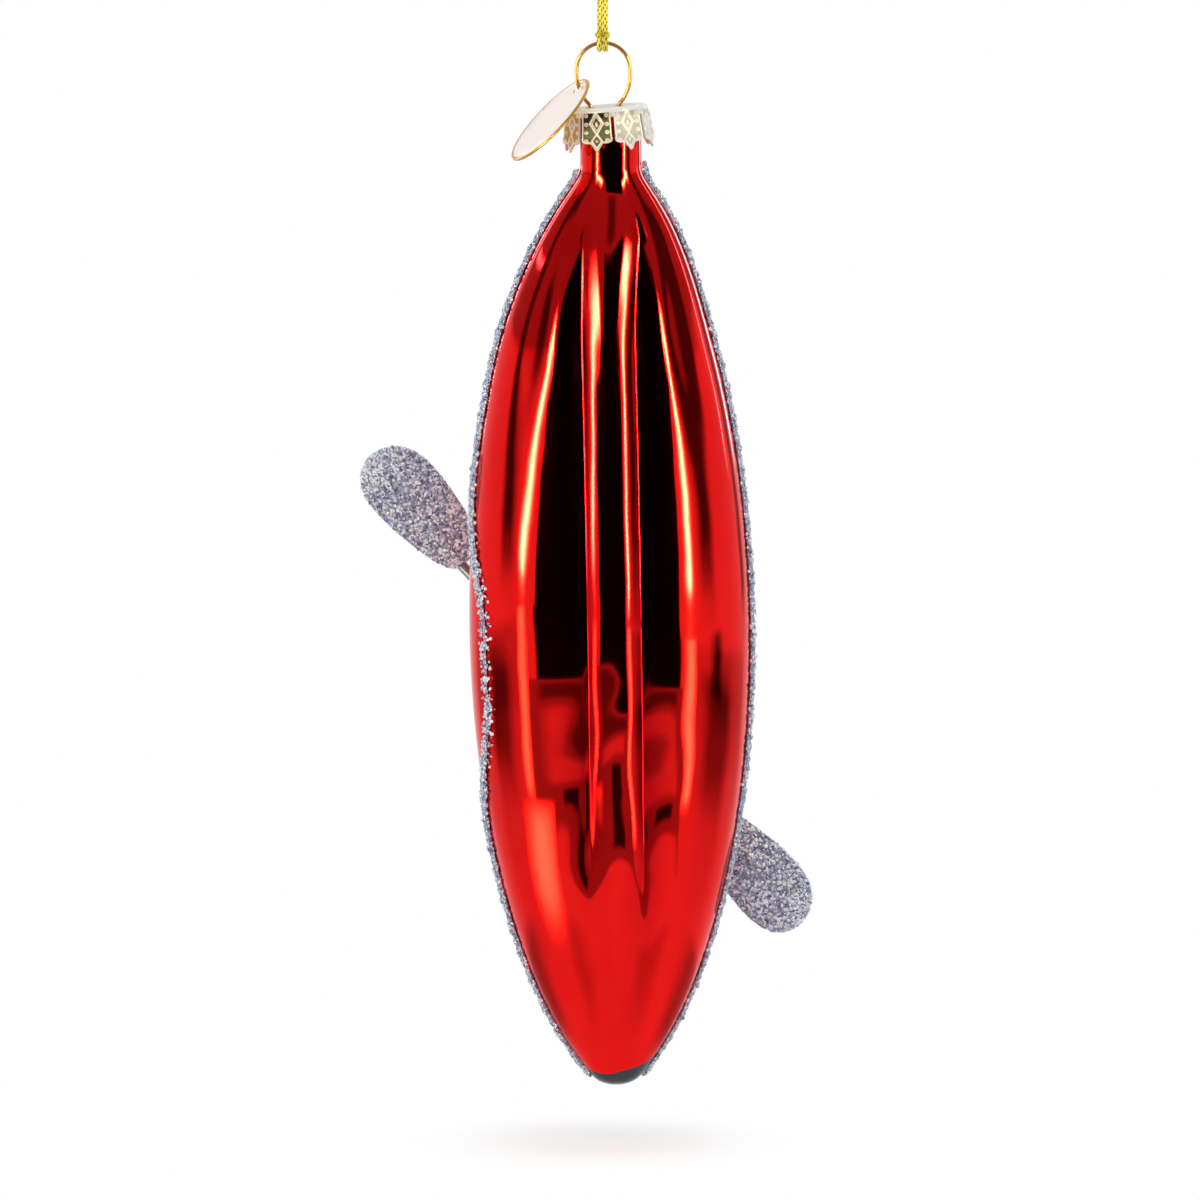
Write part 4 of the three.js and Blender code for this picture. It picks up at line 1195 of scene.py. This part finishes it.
class ORNAMENT_OT_paddle(bpy.types.Operator):
    """Makes the double-bladed paddle, its blades rolled in glitter, and dresses the glue that holds it"""

    bl_idname = "ornament.paddle"
    bl_label = "Paddle"

    def execute(self, context):
        sizes = context.scene.ornament_sizes
        pearl = pearl_lacquer(sizes)
        bed = glitter_bed("silver glitter coat", "#C0C9E0", "#505A78")
        flakes = flake_glitter("silver flake glitter", ["#66718F", "#B4BDD6", "#F2F6FF", "#FFFFFF"])
        rows = 60

        def rod(u, v):
            turn = 2 * math.pi * u
            x = SHAFT_HALF_LENGTH * (2 * v - 1)
            radius = SHAFT_RADIUS * (1 + 0.02 * math.sin(0.9 * x)) * (0 if v in (0.0, 1.0) else 1)
            return (Vector((x, radius * math.cos(turn), radius * math.sin(turn))),)

        shaft = wrap_grid("paddle_shaft", 28, rows, rod)
        settle(shaft, PADDLE_PLACE, "kayak", [pearl], ["paddle"])
        for name, side in (("upper", -1), ("lower", 1)):
            turned = Matrix.Identity(4)
            if side < 0:
                turned = Matrix.Rotation(math.pi, 4, "Z") @ Matrix.Rotation(math.pi, 4, "X")
            reach = Matrix.Translation((side * (SHAFT_HALF_LENGTH - 1.5), 0, 0))
            placed = PADDLE_PLACE @ reach @ Matrix.Rotation(side * BLADE_COCK, 4, "Z") @ turned
            blade = wrap_grid(
                f"blade_{name}", 48, 64,
                lambda u, v: (blade_point(math.sin(0.5 * math.pi * v), 2 * math.pi * u),),
            )
            settle(blade, placed, "kayak", [bed])
            chance = random.Random(57 + side)
            spots = []
            while len(spots) < sizes.blade_flakes:
                t = math.sin(0.5 * math.pi * chance.random())
                turn = math.acos(chance.uniform(-1, 1)) * chance.choice((-1, 1))
                normal = Vector((0, 0.6 * math.cos(turn), math.sin(turn)))
                spots.append((blade_point(t, turn, 0.06), normal.normalized()))
            strewn = strew(f"blade_flakes_{name}", spots, 1.05 * sizes.flake_size / MM, 91 + side)
            settle(strewn, placed, "kayak", [flakes])
        glue = dried_glue()
        for name in ("glue_dab_upper", "glue_dab_lower"):
            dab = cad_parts[name]
            dab.data.materials.clear()
            dab.data.materials.append(glue)
        return {"FINISHED"}


class ORNAMENT_OT_stage(bpy.types.Operator):
    """Sets up the pale floor, the soft lamps and the studio cards that a mirror finish shows"""

    bl_idname = "ornament.stage"
    bl_label = "Stage"

    def execute(self, context):
        self.floor()
        self.world(context)
        self.lamps()
        self.cards()
        context.scene.view_settings.view_transform = "Standard"
        return {"FINISHED"}

    def floor(self):
        """A white floor just under the tip, which keeps the ornament's shadow."""
        bpy.ops.mesh.primitive_plane_add(size=14, location=(0, FLOOR_MIDDLE_Y, FLOOR_Z * MM))
        floor = bpy.context.object
        floor.name = "studio_floor"
        material, tree, output = new_material("matt white paper")
        here = {"Vector": add_node(tree, "ShaderNodeTexCoord").outputs["Object"]}
        centre = add_node(
            tree, "ShaderNodeMapping", {"Location": (0, FLOOR_MIDDLE_Y, 0), "Scale": (1, 1, 0)}, here
        )
        away = add_node(tree, "ShaderNodeVectorMath", links={0: centre.outputs["Vector"]}, operation="LENGTH")
        far = add_node(
            tree, "ShaderNodeMapRange", {"From Min": 0.006, "From Max": 0.028, "To Min": 0.64, "To Max": 1.0},
            {"Value": away.outputs["Value"]}, interpolation_type="SMOOTHSTEP",
        )
        rays = add_node(tree, "ShaderNodeLightPath")
        looked_at = add_node(
            tree, "ShaderNodeMath", links={0: rays.outputs["Is Camera Ray"], 1: far.outputs[0]},
            operation="MULTIPLY",
        )
        seen = add_node(
            tree, "ShaderNodeMath", links={0: looked_at.outputs[0], 1: rays.outputs["Is Glossy Ray"]},
            operation="MAXIMUM",
        )
        paper = add_node(tree, "ShaderNodeBsdfDiffuse", {"Color": colour("#F7F7F7")})
        glow = add_node(tree, "ShaderNodeEmission", {"Strength": 1.0})
        mixed = add_node(
            tree, "ShaderNodeMixShader", links={0: seen.outputs[0], 1: paper.outputs[0], 2: glow.outputs[0]}
        )
        tree.links.new(mixed.outputs[0], output.inputs["Surface"])
        floor.data.materials.append(material)

    def world(self, context):
        """Soft even light, white where the camera, a mirror or clear glass looks at it."""
        world = bpy.data.worlds.new("soft studio")
        context.scene.world = world
        world.use_nodes = True
        tree = world.node_tree
        tree.nodes.clear()
        rays = add_node(tree, "ShaderNodeLightPath")
        first = add_node(
            tree, "ShaderNodeMath", links={0: rays.outputs["Is Camera Ray"], 1: rays.outputs["Is Glossy Ray"]},
            operation="MAXIMUM",
        )
        seen = add_node(
            tree, "ShaderNodeMath", links={0: first.outputs[0], 1: rays.outputs["Is Transmission Ray"]},
            operation="MAXIMUM",
        )
        strength = add_node(
            tree, "ShaderNodeMapRange", {"To Min": 0.55, "To Max": 1.0}, {"Value": seen.outputs[0]}
        )
        sky = add_node(
            tree, "ShaderNodeBackground", {"Color": (1, 1, 1, 1)}, {"Strength": strength.outputs[0]}
        )
        output = add_node(tree, "ShaderNodeOutputWorld")
        tree.links.new(sky.outputs[0], output.inputs["Surface"])

    def lamps(self):
        """One soft light overhead and one at each side, in front."""
        self.lamp("overhead", (0.0, -0.10, 0.80), 0.7, 0.7, 1.3)
        self.lamp("left", (-0.75, -0.65, 0.25), 0.5, 0.8, 0.9)
        self.lamp("right", (0.75, -0.65, 0.25), 0.5, 0.8, 0.7)

    def lamp(self, name, offset, width, height, radiance):
        """A soft area lamp of that radiance, aimed at the middle of the ornament."""
        centre = Vector((0, 0, MIDDLE_Z))
        bpy.ops.object.light_add(type="AREA", location=centre + Vector(offset))
        lamp = bpy.context.object
        lamp.name = name
        lamp.rotation_euler = (-Vector(offset)).to_track_quat("-Z", "Y").to_euler()
        lamp.data.shape = "RECTANGLE"
        lamp.data.size = width
        lamp.data.size_y = height
        lamp.data.energy = radiance * width * height * math.pi
        lamp.visible_camera = False
        lamp.visible_glossy = False

    def cards(self):
        """What the mirror finish shows of the studio: a black front, lit strips, grey corners and floor."""
        warm, cool = (1, 0.95, 0.45), (1, 0.92, 0.95)
        for card in (
            ("front_black", (-40, 45), (-13, self.front_top), 0.003, (0.003, 0.01)),
            ("gap_left", (-80, -55), (-7, 50), 0.07, (0.4, 0.15)),
            ("gap_right", (56, 80), (-7, 50), 0.08, (0.4, 0.15)),
            ("far_right", (118, 136), (-7, 40), 0.3, (0.4, 0.1)),
            ("ceiling", (-130, 130), (14, 89), 0.42, (0.06, 0.04), 0.76),
            ("crown", (-12, 22), (25.8, 50), 0.12, (0.4, 0.1), 0.755),
        ):
            self.card(*card)
        left = [(-53, -6.5), (-51, -1), (-48, 4), (-49, 9), (-45, 13.5), (-38, 17), (-31, 19), (-24, 20.2)]
        right = [(53, -6.5), (52, 0), (53, 6), (54, 10), (51, 15), (46, 18), (40, 20), (35, 21)]
        for strip in (
            ("strip_left", left, 12, 150, warm),
            ("strip_right", right, 10, 150, warm),
            ("edge_right", [(112, 2), (112, 36)], 4, 20, cool),
            ("edge_left", [(-128, 18), (-122, 42)], 5, 12, cool),
            ("leaf_left", [(-118, 24.5), (-98, 27), (-76, 28.5)], 3.5, 12, cool),
            ("back_left", [(-140, 0), (-140, 30)], 10, 12, cool),
            ("back_right", [(140, 0), (140, 30)], 10, 16, cool),
        ):
            self.strip(*strip)
        for card in (
            ("floor_far", (0.40, 0.76), (-42, 46), 0.003, (0.02, 0.02)),
            ("side_left", (0.10, 0.76), (-130, -44), 0.62, (0.12, 0.45)),
            ("side_right", (0.10, 0.76), (46, 130), 0.62, (0.12, 0.45)),
            ("floor_middle", (0.108, 0.42), (-50, 52), 0.42, (0.04, 0.03)),
            ("floor_shade", (0.28, 0.40), (-44, 46), 0.14, (0.1, 0.3)),
            ("floor_lit", (0.185, 0.28), (-44, 46), 0.85, (0.15, 0.3)),
            ("tray", (0.128, 0.182), (-14, 36), 0.03, (0.2, 0.3)),
            ("floor_left", (0.06, 0.66), (-100, -58), 0.12, (0.35, 0.45)),
            ("floor_right", (0.06, 0.66), (58, 104), 0.14, (0.35, 0.45)),
            ("oval_floor", (0.30, 0.76), (68, 88), 0.02, (0.5, 0.3)),
            ("rim_left", (0.012, 0.075), (-150, -66), 0.45, (0.4, 0.3)),
            ("rim_right", (0.012, 0.075), (66, 150), 0.45, (0.4, 0.3)),
            ("strip_floor_left", (0.14, 0.76), (-57, -47), 13, (0.5, 0.1), warm),
            ("strip_floor_right", (0.14, 0.76), (47, 58), 18, (0.5, 0.1), warm),
            ("glow_left", (0.045, 0.16), (-66, -30), 18, (0.5, 0.5), warm),
            ("lobe_shade_left", (0.012, 0.075), (-42, -12), 0.7, (0.5, 0.4)),
            ("lobe_shade_right", (0.012, 0.075), (24, 56), 0.7, (0.5, 0.4)),
        ):
            self.floor_card(*card)

    def front_top(self, azimuth):
        """Height of the black card's upper edge: high in the middle, and falling off to the left."""
        middle = smooth(-19, -12, azimuth) * (1 - smooth(34, 38, azimuth))
        return 11 + 6 * smooth(-40, -18, azimuth) + 8.6 * middle

    def bearing(self, azimuth, elevation, radius):
        """A point round the ornament at a bearing from the front and a height above level, in degrees."""
        turn, rise = math.radians(azimuth), math.radians(elevation)
        flat = radius * math.cos(rise)
        return Vector((flat * math.sin(turn), -flat * math.cos(turn), radius * math.sin(rise) + MIDDLE_Z))

    def glow(self, name, level, tint, soft, power=0.0):
        """A card's finish: even paint that fades at its edges, or a lit strip with a bright middle."""
        material, tree, output = new_material(name)
        route = add_node(tree, "ShaderNodeUVMap")
        split = add_node(tree, "ShaderNodeSeparateXYZ", links={0: route.outputs["UV"]})
        covers = []
        for axis, share in zip("XY", soft):
            middle = add_node(
                tree, "ShaderNodeMath", {1: 0.5}, {0: split.outputs[axis]}, operation="SUBTRACT"
            )
            away = add_node(tree, "ShaderNodeMath", links={0: middle.outputs[0]}, operation="ABSOLUTE")
            covers.append(add_node(
                tree, "ShaderNodeMapRange",
                {"From Min": 0.5, "From Max": 0.5 - share}, {"Value": away.outputs[0]},
                interpolation_type="SMOOTHSTEP",
            ))
        cover = add_node(
            tree, "ShaderNodeMath", links={0: covers[0].outputs[0], 1: covers[1].outputs[0]},
            operation="MULTIPLY",
        )
        light = add_node(tree, "ShaderNodeEmission", {"Color": (*tint, 1), "Strength": level})
        if power:
            fade = add_node(tree, "ShaderNodeMath", {1: power}, {0: cover.outputs[0]}, operation="POWER")
            strength = add_node(
                tree, "ShaderNodeMath", {1: level}, {0: fade.outputs[0]}, operation="MULTIPLY"
            )
            tree.links.new(strength.outputs[0], light.inputs["Strength"])
        clear = add_node(tree, "ShaderNodeBsdfTransparent")
        mixed = add_node(
            tree, "ShaderNodeMixShader",
            links={0: cover.outputs[0], 1: clear.outputs[0], 2: light.outputs[0]},
        )
        tree.links.new(mixed.outputs[0], output.inputs["Surface"])
        return material

    def card(self, name, bearings, heights, level, soft, radius=CARD_RADIUS):
        """A curved card round the ornament, seen only in reflections."""
        low, high = bearings
        bottom, top = heights

        def place(u, v):
            azimuth = low + (high - low) * u
            end = top(azimuth) if callable(top) else top
            return (self.bearing(azimuth, bottom + (end - bottom) * v, radius),)

        self.unseen(wrap_grid(f"card_{name}", 48, 16, place), self.glow(name, level, (1, 1, 1), soft))

    def strip(self, name, path, width, level, tint):
        """A lit strip along a path of bearings and heights, brightest along its middle."""
        line, _ = flow([self.bearing(az, el, STRIP_RADIUS) for az, el in path], 41)
        ahead = np.gradient(line, axis=0)

        def place(u, v):
            row = round(v * 40)
            out = Vector(line[row]) - Vector((0, 0, MIDDLE_Z))
            side = Vector(ahead[row]).cross(out).normalized()
            spread = side * (u - 0.5) * 2 * STRIP_RADIUS * math.tan(math.radians(width / 2))
            return (Vector(line[row]) + spread,)

        self.unseen(wrap_grid(f"card_{name}", 12, 40, place), self.glow(name, level, tint, (0.5, 0.12), 1.6))

    def floor_card(self, name, radii, bearings, level, soft, tint=(1, 1, 1)):
        """A card that lies on the floor in front, each one a hair above the one before."""
        self.laid = getattr(self, "laid", FLOOR_CARD_Z * MM) + 0.1 * MM
        height = self.laid

        def place(u, v):
            turn = math.radians(bearings[0] + (bearings[1] - bearings[0]) * u)
            radius = radii[0] + (radii[1] - radii[0]) * v
            return (Vector((radius * math.sin(turn), -radius * math.cos(turn), height)),)

        self.unseen(wrap_grid(f"card_{name}", 48, 8, place), self.glow(name, level, tint, soft))

    def unseen(self, card, material):
        card.data.materials.append(material)
        card.visible_camera = False
        card.visible_diffuse = False
        card.visible_shadow = False
        card.visible_transmission = False


class ORNAMENT_PT_panel(bpy.types.Panel):
    """Lists the sizes, the colours and the pieces"""

    bl_idname = "ORNAMENT_PT_panel"
    bl_label = "Glass Kayak Ornament"
    bl_space_type = "VIEW_3D"
    bl_region_type = "UI"
    bl_category = "Ornament"

    def draw(self, context):
        sizes = context.scene.ornament_sizes
        for name in OrnamentSizes.__annotations__:
            self.layout.prop(sizes, name)
        for operator in OPERATORS:
            self.layout.operator(operator.bl_idname)


OPERATORS = (
    ORNAMENT_OT_camera,
    ORNAMENT_OT_cord,
    ORNAMENT_OT_glass_body,
    ORNAMENT_OT_glitter_trims,
    ORNAMENT_OT_paddle,
    ORNAMENT_OT_crown_cap,
    ORNAMENT_OT_wire_loop,
    ORNAMENT_OT_hang_tag,
    ORNAMENT_OT_stage,
)
CLASSES = (OrnamentSizes, *OPERATORS, ORNAMENT_PT_panel)


def register():
    for item in CLASSES:
        bpy.utils.register_class(item)
    bpy.types.Scene.ornament_sizes = bpy.props.PointerProperty(type=OrnamentSizes)


def unregister():
    del bpy.types.Scene.ornament_sizes
    for item in reversed(CLASSES):
        bpy.utils.unregister_class(item)


def main():
    register()
    for operator in OPERATORS:
        group, name = operator.bl_idname.split(".")
        getattr(getattr(bpy.ops, group), name)()


if __name__ == "__main__":
    main()
